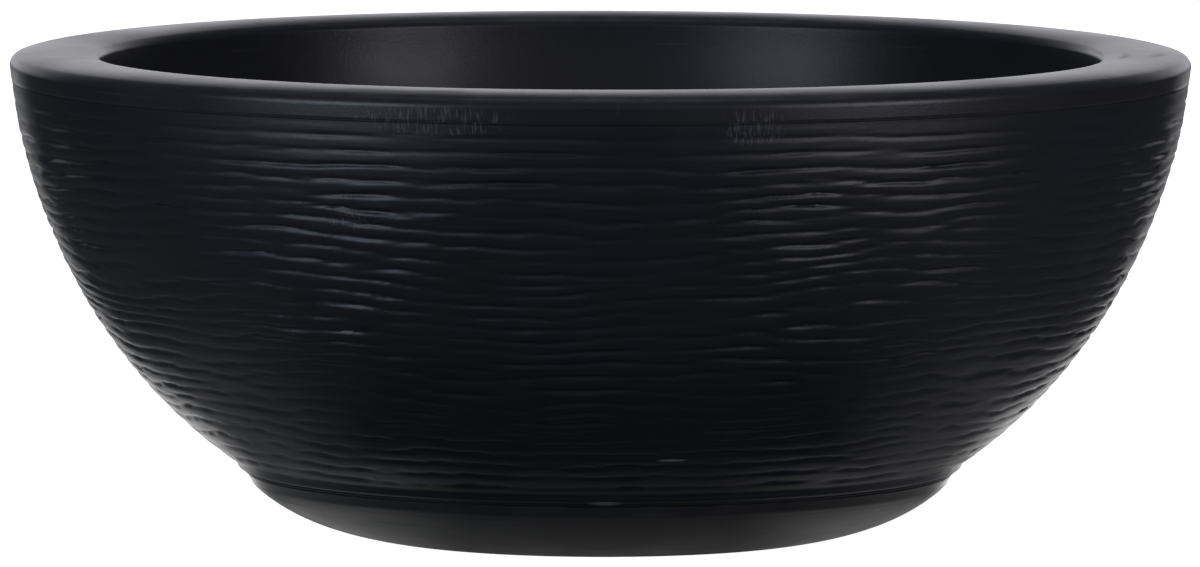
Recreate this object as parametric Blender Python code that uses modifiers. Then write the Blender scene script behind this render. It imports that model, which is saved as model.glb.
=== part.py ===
"""Double-wall garden bowl planter with a ridged outer shell, a smooth soil bowl and a screwed-on foot.

Metres, +Z up. The origin is the centre of the contact ring, on the ground.
"""

from math import cos, pi, radians, sin, sqrt

import bmesh
import bpy
from mathutils import Vector

# Driving dimensions of the whole bowl
HEIGHT = 0.185
WALL = 0.003  # thickness of every large moulding
GAP = 0.0003  # between pieces that rest on each other
SEGMENTS = 48  # facets round a large turned piece
SMALL_SEGMENTS = 24  # facets round a small turned piece
MERGE = 0.00005

# Outer wall: a quarter ellipse, standing off the axis
WALL_CENTRE_RADIUS = 0.0517
WALL_REACH = 0.1750
WALL_CENTRE_HEIGHT = HEIGHT + 0.0225
WALL_DEPTH = 0.2068
LIP_HEIGHT = 0.0242  # underside of the shell's lip over the foot
LIP_RADIUS = 0.1362
LIP_DEPTH = 0.0043  # the last stretch of wall, which stands steeper
TUCK_HEIGHT = 0.0050  # the shell's thin top edge, tucked behind the rim's band
TUCK_WALL = 0.0024

# Rim and soil bowl
RIM_BAND = 0.0118  # smooth band turned down outside
RIM_OUTER_FILLET = 0.0040
RIM_INNER_RADIUS = 0.1945  # inner edge of the rim's flat top
RIM_INNER_FILLET = 0.0035
SOIL_CENTRE_RADIUS = 0.0450
SOIL_REACH = RIM_INNER_RADIUS - RIM_INNER_FILLET - SOIL_CENTRE_RADIUS
SOIL_DEPTH = 0.1600
SOIL_FLOOR = 0.0450  # height of the soil floor's top face
SOIL_FLOOR_FILLET = 0.0100
WELL_RADIUS = 0.0270  # sunk seat for the spigot's flange
WELL_DEPTH = 0.0050

# Foot
FOOT_RADIUS = 0.1349
FOOT_CORNER_HEIGHT = 0.0218  # where the upright band turns under
CONTACT_OUTER_RADIUS = 0.0894
CONTACT_WIDTH = 0.0060
UNDERSIDE_SAG = Vector((0.1148, 0.0056))  # pulls the underside's curve outwards
RECESS_HEIGHT = 0.0060  # underside of the middle plate above the ground

# Drain
SPIGOT_BORE = 0.0130
SPIGOT_RADIUS = 0.0155
SPIGOT_END = 0.0035
FLANGE_RADIUS = 0.0225
FLANGE_THICKNESS = 0.0025
GASKET_THICKNESS = 0.0015
NUT_ACROSS_CORNERS = 0.0430
NUT_HEIGHT = 0.0060
DRAIN_CLEARANCE = 0.0015  # round the spigot, in the shell and the foot
PLUG_RADIUS = 0.0122
PLUG_LENGTH = 0.0190
PLUG_FLANGE_RADIUS = 0.0185
PLUG_FLANGE_THICKNESS = 0.0030
LOOP_RADIUS = 0.0080
LOOP_BAR_RADIUS = 0.0020
RING_BAR_RADIUS = 0.0013
RING_DROP = 0.0115  # o-ring's height below the plug's flange

# Foot screws and what holds them
SCREW_COUNT = 4
SCREW_CIRCLE = 0.0560
SCREW_RADIUS = 0.0019
SCREW_LENGTH = 0.0290
SCREW_HEAD_RADIUS = 0.0038
SCREW_HEAD_HEIGHT = 0.0024
BOSS_RADIUS = 0.0050
SHELL_BOSS_HEIGHT = 0.0105
RIB_COUNT = 8
RIB_THICKNESS = 0.0025
RIB_INNER_RADIUS = 0.0320
RIB_OUTER_RADIUS = 0.1040

PART_COLLECTION = "garden_bowl_planter"
CUTTER_COLLECTION = "cutters"


# ---------------------------------------------------------------- scene and materials
def clear_scene():
    """Removes every object and makes the two collections."""
    for old in list(bpy.data.objects):
        bpy.data.objects.remove(old, do_unlink=True)
    for name in (PART_COLLECTION, CUTTER_COLLECTION):
        collection = bpy.data.collections.new(name)
        bpy.context.scene.collection.children.link(collection)


def material(name, colour, roughness, metallic=0.0):
    """A Principled material with one colour."""
    made = bpy.data.materials.new(name)
    made.use_nodes = True
    shader = made.node_tree.nodes["Principled BSDF"]
    shader.inputs["Base Color"].default_value = (*colour, 1.0)
    shader.inputs["Roughness"].default_value = roughness
    shader.inputs["Metallic"].default_value = metallic
    return made


def put(piece, collection, finish=None):
    """Moves an object to one of the two collections and gives it its material."""
    for old in list(piece.users_collection):
        old.objects.unlink(piece)
    bpy.data.collections[collection].objects.link(piece)
    if finish is not None:
        piece.data.materials.clear()
        piece.data.materials.append(finish)
    return piece


# ---------------------------------------------------------------- outline helpers
def arc(centre, radius, start, end, steps):
    """Points on a round corner; angles in degrees, 0 points outwards and 90 points up."""
    points = []
    for i in range(steps + 1):
        angle = radians(start + (end - start) * i / steps)
        points.append((centre[0] + radius * cos(angle), centre[1] + radius * sin(angle)))
    return points


def bow(start, middle, end, steps):
    """Points on a quadratic curve from start to end, pulled towards middle."""
    points = []
    for i in range(steps + 1):
        t = i / steps
        point = (1 - t) ** 2 * start + 2 * t * (1 - t) * middle + t**2 * end
        points.append((point.x, point.y))
    return points


def outer_radius(height):
    """Radius of the bowl's outer face at a height above the ground."""
    fall = (height - WALL_CENTRE_HEIGHT) / WALL_DEPTH
    return WALL_CENTRE_RADIUS + WALL_REACH * sqrt(1 - fall**2)


def soil_radius(height):
    """Radius of the soil bowl's inner face at a height above the ground."""
    fall = (height - HEIGHT) / SOIL_DEPTH
    return SOIL_CENTRE_RADIUS + SOIL_REACH * sqrt(1 - fall**2)


def wall_slope(radius_at, height):
    """How fast a wall's radius grows with height."""
    return (radius_at(height + 0.0001) - radius_at(height - 0.0001)) / 0.0002


def wall_point(radius_at, offset, height):
    """One point on a curved wall, moved square off the wall by offset."""
    slope = wall_slope(radius_at, height)
    length = sqrt(1 + slope**2)
    return (radius_at(height) + offset / length, height - offset * slope / length)


def wall_points(radius_at, offset, top, bottom, steps):
    """Points down a curved wall, moved square off the wall by offset."""
    heights = [top + (bottom - top) * i / steps for i in range(steps + 1)]
    return [wall_point(radius_at, offset, height) for height in heights]


# ---------------------------------------------------------------- mesh helpers
def turned(name, outline, finish, collection=PART_COLLECTION, segments=SEGMENTS, closed=True):
    """A turned solid: an outline in the XZ plane, carried round Z by a Screw modifier."""
    mesh = bpy.data.meshes.new(name)
    edges = [(i, i + 1) for i in range(len(outline) - 1)]
    if closed:
        edges.append((len(outline) - 1, 0))
    mesh.from_pydata([(r, 0.0, z) for r, z in outline], edges, [])
    piece = bpy.data.objects.new(name, mesh)
    bpy.context.scene.collection.objects.link(piece)
    screw = piece.modifiers.new("turn", "SCREW")
    screw.steps = segments
    screw.render_steps = segments
    screw.use_merge_vertices = True
    screw.merge_threshold = MERGE
    screw.use_smooth_shade = True
    return put(piece, collection, finish)


def cylinder(name, radius, bottom, top, x=0.0, y=0.0, sides=SMALL_SEGMENTS):
    """An upright cylinder, used as a boss or a cutter."""
    bpy.ops.mesh.primitive_cylinder_add(
        vertices=sides, radius=radius, depth=top - bottom, location=(x, y, (top + bottom) / 2)
    )
    piece = bpy.context.object
    piece.name = name
    return put(piece, CUTTER_COLLECTION)


def combine(piece, tool, operation):
    """Adds or cuts a tool with a Boolean modifier, and hides the tool."""
    modifier = piece.modifiers.new(f"{operation.lower()} {tool.name}", "BOOLEAN")
    modifier.operation = operation
    modifier.solver = "EXACT"
    modifier.object = tool
    tool.hide_render = True
    tool.display_type = "WIRE"


def around(count, first=0.0):
    """Angles in radians, spaced evenly round the axis."""
    return [radians(first) + 2 * pi * i / count for i in range(count)]


# ---------------------------------------------------------------- the large mouldings
def build_outer_shell(finish):
    """Outer wall with a stepped-in top edge, a lip over the foot and a floor plate."""
    skirt_inside = WALL + GAP
    ledge = HEIGHT - RIM_BAND - GAP
    edge = outer_radius(ledge) - skirt_inside
    outline = [(edge - TUCK_WALL, ledge + TUCK_HEIGHT), (edge, ledge + TUCK_HEIGHT), (edge, ledge)]
    outline += wall_points(outer_radius, 0.0, ledge, LIP_HEIGHT + LIP_DEPTH, 11)
    outline += [(LIP_RADIUS, LIP_HEIGHT + 0.0008), (LIP_RADIUS - 0.0006, LIP_HEIGHT)]
    hole = SPIGOT_RADIUS + DRAIN_CLEARANCE
    floor_top = LIP_HEIGHT + WALL
    outline += [(hole, LIP_HEIGHT), (hole, floor_top)]
    inside = wall_points(outer_radius, -WALL, floor_top + 0.0015, ledge - 0.004, 8)
    outline += [(inside[0][0] - 0.0022, floor_top)] + inside
    shell = turned("outer_shell", outline, finish)
    add_ribs(shell)
    add_shell_bosses(shell)
    return shell


def add_ribs(shell):
    """Radial ribs on the shell's floor, which carry the soil bowl."""
    bottom = LIP_HEIGHT + WALL / 2
    top = SOIL_FLOOR - WALL - GAP
    for i, angle in enumerate(around(RIB_COUNT, 22.5)):
        bpy.ops.mesh.primitive_cube_add(size=1.0, rotation=(0, 0, angle))
        rib = bpy.context.object
        rib.name = f"shell_rib_{i + 1}"
        length = RIB_OUTER_RADIUS - RIB_INNER_RADIUS
        middle = (RIB_OUTER_RADIUS + RIB_INNER_RADIUS) / 2
        rib.scale = (length, RIB_THICKNESS, top - bottom)
        rib.location = (middle * cos(angle), middle * sin(angle), (top + bottom) / 2)
        combine(shell, put(rib, CUTTER_COLLECTION), "UNION")


def screw_places():
    """Centres of the foot screws."""
    angles = around(SCREW_COUNT, 45.0)
    return [(SCREW_CIRCLE * cos(a), SCREW_CIRCLE * sin(a)) for a in angles]


def add_shell_bosses(shell):
    """Bosses on the shell's floor with a pilot hole for each foot screw."""
    floor = LIP_HEIGHT
    for i, (x, y) in enumerate(screw_places()):
        top = floor + WALL + SHELL_BOSS_HEIGHT
        boss = cylinder(f"shell_boss_{i + 1}", BOSS_RADIUS, floor + WALL / 2, top, x, y, 16)
        combine(shell, boss, "UNION")
        hole = SCREW_RADIUS + GAP
        pilot = cylinder(f"shell_pilot_{i + 1}", hole, floor - WALL, top + WALL, x, y, 12)
        combine(shell, pilot, "DIFFERENCE")


def build_inner_bowl(finish):
    """Soil bowl, flat rim and turned-down band in one moulding."""
    ledge = HEIGHT - RIM_BAND
    band_top = HEIGHT - RIM_OUTER_FILLET
    corner = (outer_radius(band_top) - RIM_OUTER_FILLET, band_top)
    outline = arc(corner, RIM_OUTER_FILLET, 90, 0, 3)
    outline += [(outer_radius(ledge), ledge), (outer_radius(ledge) - WALL, ledge)]
    outline += [(outer_radius(band_top) - WALL, band_top), (corner[0] - 0.0005, HEIGHT - WALL)]
    outline += bowl_outside()
    outline += bowl_inside()
    return turned("inner_bowl", outline, finish)


def bowl_outside():
    """The soil bowl's hidden face, from under the rim down to the spigot's hole."""
    top = HEIGHT - WALL - RIM_INNER_FILLET
    points = [(RIM_INNER_RADIUS + 0.0015, HEIGHT - WALL)]
    low = SOIL_FLOOR + SOIL_FLOOR_FILLET
    points += wall_points(soil_radius, WALL, top, low, 7)
    points += floor_corner(WALL)[1:]
    well = WELL_RADIUS + WALL
    points += [(well, SOIL_FLOOR - WALL), (well, SOIL_FLOOR - WELL_DEPTH - WALL)]
    return points + [(SPIGOT_RADIUS + GAP, SOIL_FLOOR - WELL_DEPTH - WALL)]


def floor_corner(offset):
    """Curve from the wall's foot on to the floor, moved off the soil side by offset."""
    low = SOIL_FLOOR + SOIL_FLOOR_FILLET
    start = Vector(wall_point(soil_radius, offset, low))
    fall = start.y - SOIL_FLOOR + offset
    middle = Vector((start.x - fall * wall_slope(soil_radius, low), SOIL_FLOOR - offset))
    end = Vector((middle.x - SOIL_FLOOR_FILLET, SOIL_FLOOR - offset))
    return bow(start, middle, end, 3)


def bowl_inside():
    """The face that holds the soil, from the spigot's hole up to the rim."""
    well_floor = SOIL_FLOOR - WELL_DEPTH
    points = [(SPIGOT_RADIUS + GAP, well_floor), (WELL_RADIUS, well_floor)]
    points += [(WELL_RADIUS, SOIL_FLOOR)]
    points += floor_corner(0.0)[::-1]
    wall_top = HEIGHT - RIM_INNER_FILLET
    low = SOIL_FLOOR + SOIL_FLOOR_FILLET
    points += wall_points(soil_radius, 0.0, wall_top, low, 8)[::-1][1:-1]
    centre = (soil_radius(wall_top) + RIM_INNER_FILLET, wall_top)
    return points + arc(centre, RIM_INNER_FILLET, 180, 90, 3)


def build_foot(finish):
    """Base moulding: upright band, curved underside, contact ring and middle plate."""
    top = LIP_HEIGHT - GAP
    corner = Vector((FOOT_RADIUS - 0.0003, FOOT_CORNER_HEIGHT - 0.0008))
    contact = Vector((CONTACT_OUTER_RADIUS, 0.0))
    outline = [(FOOT_RADIUS - WALL, top), (FOOT_RADIUS, top), (FOOT_RADIUS, FOOT_CORNER_HEIGHT)]
    outline += bow(corner, UNDERSIDE_SAG, contact, 6)
    inner = CONTACT_OUTER_RADIUS - CONTACT_WIDTH
    hole = SPIGOT_RADIUS + DRAIN_CLEARANCE
    plate = RECESS_HEIGHT + WALL
    outline += [(inner, 0.0), (inner - 0.0012, RECESS_HEIGHT)]
    outline += [(hole, RECESS_HEIGHT), (hole, plate)]
    lift = Vector((-0.0012, WALL))
    start = Vector((CONTACT_OUTER_RADIUS + 0.0075, plate))
    outline += bow(start, UNDERSIDE_SAG + lift, Vector((FOOT_RADIUS - WALL, FOOT_CORNER_HEIGHT)), 5)
    foot = turned("foot", outline, finish)
    for i, (x, y) in enumerate(screw_places()):
        boss = cylinder(f"foot_boss_{i + 1}", BOSS_RADIUS, RECESS_HEIGHT + WALL / 2, top, x, y, 16)
        combine(foot, boss, "UNION")
        hole = SCREW_RADIUS + GAP
        bore = cylinder(f"foot_bore_{i + 1}", hole, 0.0, HEIGHT / 4, x, y, 12)
        combine(foot, bore, "DIFFERENCE")
    return foot


# ---------------------------------------------------------------- fasteners and drain
def build_screws(finish):
    """Pan-head screws, heads under the foot's middle plate."""
    seat = RECESS_HEIGHT - GAP
    lean = SCREW_HEAD_RADIUS * 0.72
    outline = [(0.0, seat + SCREW_LENGTH), (SCREW_RADIUS * 0.45, seat + SCREW_LENGTH)]
    outline += [(SCREW_RADIUS, seat + SCREW_LENGTH - 0.0025), (SCREW_RADIUS, seat)]
    outline += [(SCREW_HEAD_RADIUS, seat), (SCREW_HEAD_RADIUS, seat - SCREW_HEAD_HEIGHT / 2)]
    outline += [(lean, seat - SCREW_HEAD_HEIGHT), (0.0, seat - SCREW_HEAD_HEIGHT)]
    for i, (x, y) in enumerate(screw_places()):
        screw = turned(f"foot_screw_{i + 1}", outline, finish, segments=16, closed=False)
        screw.location = (x, y, 0.0)


def well_floor():
    """Top face of the sunk seat in the soil floor."""
    return SOIL_FLOOR - WELL_DEPTH


def flange_top():
    """Top face of the spigot's flange."""
    return well_floor() + GAP + GASKET_THICKNESS + GAP + FLANGE_THICKNESS


def build_spigot(finish):
    """Flanged drain tube."""
    top = flange_top()
    under = top - FLANGE_THICKNESS
    outline = [(SPIGOT_BORE + 0.0006, top), (FLANGE_RADIUS - 0.0006, top)]
    outline += [(FLANGE_RADIUS, top - 0.0006), (FLANGE_RADIUS, under)]
    outline += [(SPIGOT_RADIUS, under), (SPIGOT_RADIUS, SPIGOT_END)]
    outline += [(SPIGOT_BORE, SPIGOT_END), (SPIGOT_BORE, top - 0.0006)]
    return turned("drain_spigot", outline, finish, segments=SMALL_SEGMENTS)


def build_gasket(finish):
    """Flat rubber washer between the spigot's flange and the soil floor."""
    bottom = well_floor() + GAP
    top = bottom + GASKET_THICKNESS
    inner = SPIGOT_RADIUS + GAP
    outer = FLANGE_RADIUS - 0.0005
    outline = [(inner, top), (outer, top), (outer, bottom), (inner, bottom)]
    return turned("spigot_gasket", outline, finish, segments=SMALL_SEGMENTS)


def build_nut(finish):
    """Hexagonal lock nut under the soil floor."""
    top = well_floor() - WALL - GAP
    bottom = top - NUT_HEIGHT
    nut = cylinder("spigot_nut", NUT_ACROSS_CORNERS / 2, bottom, top, sides=6)
    put(nut, PART_COLLECTION, finish)
    bore = cylinder("nut_bore", SPIGOT_RADIUS + GAP, bottom - WALL, top + WALL)
    combine(nut, bore, "DIFFERENCE")
    return nut


def build_plug(finish):
    """Push-in plug with an o-ring groove and a finger loop."""
    seat = flange_top() + GAP
    top = seat + PLUG_FLANGE_THICKNESS
    end = seat - PLUG_LENGTH
    groove = seat - RING_DROP
    half = RING_BAR_RADIUS + GAP
    floor = PLUG_RADIUS - 2 * RING_BAR_RADIUS + 0.0002
    outline = [(0.0, top), (PLUG_FLANGE_RADIUS - 0.001, top)]
    outline += [(PLUG_FLANGE_RADIUS, top - 0.001), (PLUG_FLANGE_RADIUS, seat), (PLUG_RADIUS, seat)]
    outline += [(PLUG_RADIUS, groove + half), (floor, groove + half)]
    outline += [(floor, groove - half), (PLUG_RADIUS, groove - half)]
    outline += [(PLUG_RADIUS, end + 0.003), (PLUG_RADIUS - 0.002, end), (0.0, end)]
    plug = turned("drain_plug", outline, finish, segments=SMALL_SEGMENTS, closed=False)
    bpy.ops.mesh.primitive_torus_add(
        major_radius=LOOP_RADIUS,
        minor_radius=LOOP_BAR_RADIUS,
        major_segments=24,
        minor_segments=8,
        location=(0.0, 0.0, top + LOOP_RADIUS - LOOP_BAR_RADIUS / 2),
        rotation=(pi / 2, 0.0, 0.0),
    )
    loop = bpy.context.object
    loop.name = "plug_loop"
    combine(plug, put(loop, CUTTER_COLLECTION), "UNION")
    return plug


def build_o_ring(finish):
    """Rubber ring in the plug's groove."""
    floor = PLUG_RADIUS - 2 * RING_BAR_RADIUS + 0.0002
    bpy.ops.mesh.primitive_torus_add(
        major_radius=floor + GAP + RING_BAR_RADIUS,
        minor_radius=RING_BAR_RADIUS,
        major_segments=SMALL_SEGMENTS,
        minor_segments=8,
        location=(0.0, 0.0, flange_top() + GAP - RING_DROP),
    )
    ring = bpy.context.object
    ring.name = "plug_o_ring"
    return put(ring, PART_COLLECTION, finish)


def shade(piece):
    """Smooth shading that keeps the sharp edges."""
    bm = bmesh.new()
    bm.from_mesh(piece.data)
    for face in bm.faces:
        face.smooth = True
    bm.to_mesh(piece.data)
    bm.free()
    if piece.data.polygons:
        piece.data.set_sharp_from_angle(angle=radians(35))


def main():
    """Builds every piece of the planter."""
    clear_scene()
    ridged = material("ridged_black_plastic", (0.012, 0.013, 0.016), 0.48)
    smooth = material("smooth_black_plastic", (0.014, 0.015, 0.018), 0.42)
    foot_black = material("foot_black_plastic", (0.014, 0.015, 0.017), 0.40)
    drain_black = material("drain_black_plastic", (0.02, 0.02, 0.022), 0.35)
    rubber = material("black_rubber", (0.018, 0.018, 0.018), 0.7)
    steel = material("stainless_steel", (0.6, 0.6, 0.6), 0.3, 1.0)
    build_outer_shell(ridged)
    build_inner_bowl(smooth)
    build_foot(foot_black)
    build_screws(steel)
    build_spigot(drain_black)
    build_gasket(rubber)
    build_nut(drain_black)
    build_plug(drain_black)
    build_o_ring(rubber)
    for piece in bpy.data.collections[PART_COLLECTION].objects:
        shade(piece)


main()
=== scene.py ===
"""Finished surfaces and plastics of a double-wall garden bowl planter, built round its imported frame.

The planter is a ridged outer wall, a smooth soil bowl with a flat rim, a smooth foot, and a drain with a
lift-out plug. Every surface is worked out here as a grid of points, from the frame's own boxes.
"""

import logging
import math
from collections.abc import Callable
from dataclasses import dataclass, field
from enum import Enum
from typing import Union

import bpy
import numpy as np
from mathutils import Matrix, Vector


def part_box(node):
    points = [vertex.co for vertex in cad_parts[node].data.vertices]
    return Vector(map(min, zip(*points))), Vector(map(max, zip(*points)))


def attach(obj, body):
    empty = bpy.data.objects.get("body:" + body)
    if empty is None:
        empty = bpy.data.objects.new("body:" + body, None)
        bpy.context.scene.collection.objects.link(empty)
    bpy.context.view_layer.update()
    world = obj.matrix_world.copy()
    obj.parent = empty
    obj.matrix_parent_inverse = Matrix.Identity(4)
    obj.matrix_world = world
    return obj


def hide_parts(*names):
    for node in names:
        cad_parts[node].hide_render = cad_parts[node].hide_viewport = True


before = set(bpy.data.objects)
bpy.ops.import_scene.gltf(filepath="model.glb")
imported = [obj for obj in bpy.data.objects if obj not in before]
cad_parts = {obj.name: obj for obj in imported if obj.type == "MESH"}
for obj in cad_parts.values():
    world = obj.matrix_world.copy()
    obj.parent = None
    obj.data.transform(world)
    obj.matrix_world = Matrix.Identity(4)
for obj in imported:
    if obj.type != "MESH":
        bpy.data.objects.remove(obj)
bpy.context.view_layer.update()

LOG = logging.getLogger("planter")
TURN = 2.0 * math.pi
MM = 0.001
SLOPE_STEP = 0.05 * MM
BOSS_RADIUS = 5.0 * MM
SCREW_HOLE_RADIUS = 2.2 * MM

Point = tuple[float, float]
Place = tuple[float, float, float]
Spot = tuple[float, float, float, float]
Tone = tuple[float, float, float, float]
Source = Union[bpy.types.NodeSocket, float, tuple[float, ...]]
Curve = Callable[[np.ndarray], np.ndarray]


class Body(str, Enum):
    """The frame's bodies that pieces ride on."""

    PLANTER = "planter"
    PLUG = "plug"


# ------------------------------------------------------------------------------------------ outlines
def arc(centre: Point, radius: float, start: float, end: float, steps: int) -> list[Point]:
    """A round corner: centre plus radius times (cosine, sine) of an evenly stepped angle.

    Args:
        centre: The corner's centre, as radius and height.
        radius: The corner's radius.
        start: First angle in degrees; 0 points outwards and 90 points up.
        end: Last angle in degrees.
        steps: How many stretches the corner has.

    Returns:
        The corner's points in order.
    """
    angles = np.radians(np.linspace(start, end, steps + 1))
    return [(centre[0] + radius * math.cos(a), centre[1] + radius * math.sin(a)) for a in angles]


def bow(start: Point, middle: Point, end: Point, steps: int) -> list[Point]:
    """A quadratic curve: (1-t)^2 start + 2t(1-t) middle + t^2 end.

    Args:
        start: First point.
        middle: The point that pulls the curve.
        end: Last point.
        steps: How many stretches the curve has.

    Returns:
        The curve's points in order.
    """
    t = np.linspace(0.0, 1.0, steps + 1)[:, None]
    points = (1 - t) ** 2 * np.array(start) + 2 * t * (1 - t) * np.array(middle) + t**2 * np.array(end)
    return [tuple(p) for p in points]


def run(start: Point, end: Point, steps: int) -> list[Point]:
    """Evenly spaced points on a straight line, both ends included.

    Args:
        start: First point.
        end: Last point.
        steps: How many stretches the line has.

    Returns:
        The line's points in order.
    """
    t = np.linspace(0.0, 1.0, steps + 1)[:, None]
    return [tuple(p) for p in (1 - t) * np.array(start) + t * np.array(end)]


def tidy_outline(points: list[Point]) -> np.ndarray:
    """Drops each point that lies on the one before it.

    Args:
        points: An outline, as radius and height.

    Returns:
        The outline as an array of two columns.
    """
    outline = np.array(points, float)
    step = np.linalg.norm(outline - np.roll(outline, 1, axis=0), axis=1)
    return outline[step > 1e-6]


# -------------------------------------------------------------------------------------------- meshes
def grid_faces(rows: int, columns: int, closed_rows: bool) -> np.ndarray:
    """Quads of a grid whose columns go round: (r, c), (r, c+1), (r+1, c+1), (r+1, c) for each cell.

    Args:
        rows: Points along the outline.
        columns: Points round the turn.
        closed_rows: True where the last row joins the first.

    Returns:
        One row of four vertex numbers for each quad.
    """
    r = np.arange(rows if closed_rows else rows - 1)[:, None]
    c = np.arange(columns)[None, :]
    below = (r + 1) % rows
    right = (c + 1) % columns
    quads = [r * columns + c, r * columns + right, below * columns + right, below * columns + c]
    return np.stack(quads, axis=-1).reshape(-1, 4)


def make_object(name: str, points: np.ndarray, quads: np.ndarray, triangles: np.ndarray | None = None,
                sharp: float = 40.0) -> bpy.types.Object:
    """Puts a point array and its faces in a smooth-shaded mesh object at the origin.

    Args:
        name: The new object's name.
        points: Vertices, one row of x, y, z each.
        quads: Four vertex numbers a row.
        triangles: Three vertex numbers a row, or None.
        sharp: Edges that turn more than this many degrees stay sharp.

    Returns:
        The object, linked to the scene.
    """
    faces = quads.tolist() + ([] if triangles is None else triangles.tolist())
    mesh = bpy.data.meshes.new(name)
    mesh.from_pydata(points.reshape(-1, 3).tolist(), [], faces)
    mesh.polygons.foreach_set("use_smooth", np.ones(len(faces), bool))
    mesh.set_sharp_from_angle(angle=math.radians(sharp))
    mesh.update()
    made = bpy.data.objects.new(name, mesh)
    bpy.context.scene.collection.objects.link(made)
    return made


def around(columns: int) -> np.ndarray:
    """Azimuths of a turned grid's columns, starting at the back so that the front has no seam."""
    return TURN * np.arange(columns) / columns + math.pi / 2


def turned_points(radius: np.ndarray, height: np.ndarray, columns: int) -> np.ndarray:
    """x = radius cos(azimuth), y = radius sin(azimuth), z = height, for every row and column.

    Args:
        radius: Radii, one a row, or one a row and column.
        height: Heights in the same shape.
        columns: Points round the turn.

    Returns:
        An array of rows by columns by 3.
    """
    azimuth = around(columns)[None, :]
    radius = np.broadcast_to(radius if radius.ndim == 2 else radius[:, None], (len(radius), columns))
    height = np.broadcast_to(height if height.ndim == 2 else height[:, None], radius.shape)
    return np.stack([radius * np.cos(azimuth), radius * np.sin(azimuth), height], axis=-1)


def turned_ring(name: str, outline: list[Point], columns: int, sharp: float = 40.0) -> bpy.types.Object:
    """A closed outline carried round Z, which goes down its outer side and up its inner side.

    Args:
        name: The new object's name.
        outline: Closed outline, as radius and height.
        columns: Points round the turn.
        sharp: Edges that turn more than this many degrees stay sharp.

    Returns:
        The finished ring.
    """
    shape = tidy_outline(outline)
    points = turned_points(shape[:, 0], shape[:, 1], columns)
    quads = grid_faces(len(shape), columns, True)[:, ::-1]
    return make_object(name, points, quads, sharp=sharp)


def turned_solid(name: str, outline: list[Point], columns: int, shape_row: Curve | None = None,
                 sharp: float = 40.0) -> bpy.types.Object:
    """An outline from the top of the axis to its foot, carried round Z, with one point at each pole.

    Args:
        name: The new object's name.
        outline: Radii and heights between the poles; the first and last radius are 0.
        columns: Points round the turn.
        shape_row: A function that changes the grid's points, or None.
        sharp: Edges that turn more than this many degrees stay sharp.

    Returns:
        The finished solid.
    """
    shape = tidy_outline(outline)
    inner = shape[1:-1]
    points = turned_points(inner[:, 0], inner[:, 1], columns)
    if shape_row is not None:
        points = shape_row(points)
    flat = points.reshape(-1, 3)
    poles = np.array([[0.0, 0.0, shape[0, 1]], [0.0, 0.0, shape[-1, 1]]])
    if shape_row is not None:
        poles = shape_row(poles[:, None, :]).reshape(-1, 3)
    quads = grid_faces(len(inner), columns, False)[:, ::-1]
    c = np.arange(columns)
    top, foot, last = len(flat), len(flat) + 1, (len(inner) - 1) * columns
    cap = np.stack([np.full(columns, top), c, (c + 1) % columns], axis=-1)
    base = np.stack([np.full(columns, foot), last + (c + 1) % columns, last + c], axis=-1)
    return make_object(name, np.vstack([flat, poles]), quads, np.vstack([cap, base]), sharp)


def tube(name: str, path: np.ndarray, bar: np.ndarray, side: np.ndarray, sides: int) -> bpy.types.Object:
    """A round bar along a flat path: path + bar (cos a) in-plane normal + bar (sin a) side, with capped ends.

    Args:
        name: The new object's name.
        path: Points along the bar's middle.
        bar: The bar's radius at each point.
        side: Unit vector square to the path's plane.
        sides: Points round the bar.

    Returns:
        The finished bar.
    """
    along = np.gradient(path, axis=0)
    along /= np.linalg.norm(along, axis=1)[:, None]
    normal = np.cross(side, along)
    a = (TURN * np.arange(sides) / sides)[None, :, None]
    points = path[:, None] + bar[:, None, None] * (np.cos(a) * normal[:, None] + np.sin(a) * side)
    flat = points.reshape(-1, 3)
    quads = grid_faces(len(path), sides, False)
    c = np.arange(sides)
    first, last = len(flat), len(flat) + 1
    start = np.stack([np.full(sides, first), (c + 1) % sides, c], axis=-1)
    row = (len(path) - 1) * sides
    end = np.stack([np.full(sides, last), row + c, row + (c + 1) % sides], axis=-1)
    return make_object(name, np.vstack([flat, path[:1], path[-1:]]), quads, np.vstack([start, end]))


def combine(piece: bpy.types.Object, tool: bpy.types.Object, operation: str) -> None:
    """Adds a tool to a piece or cuts it away, applies the result and removes the tool.

    Args:
        piece: The object that keeps the result.
        tool: The object that is added or cut away.
        operation: UNION or DIFFERENCE.
    """
    modifier = piece.modifiers.new(operation.lower(), "BOOLEAN")
    modifier.operation = operation
    modifier.solver = "EXACT"
    modifier.object = tool
    graph = bpy.context.evaluated_depsgraph_get()
    result = bpy.data.meshes.new_from_object(piece.evaluated_get(graph), depsgraph=graph)
    piece.modifiers.clear()
    old = piece.data
    piece.data = result
    bpy.data.meshes.remove(old)
    bpy.data.objects.remove(tool, do_unlink=True)


def post(name: str, radius: float, bottom: float, top: float, x: float, y: float) -> bpy.types.Object:
    """An upright round bar at x, y, used as a boss or a hole's cutter.

    Args:
        name: The bar's name.
        radius: Its radius.
        bottom: Its lowest height.
        top: Its highest height.
        x: Where its axis stands.
        y: Where its axis stands.

    Returns:
        The bar.
    """
    outline = [(0.0, top), (radius, top), (radius, bottom), (0.0, bottom)]
    return turned_solid(name, outline, 32, lambda p: p + np.array([x, y, 0.0]))


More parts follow.
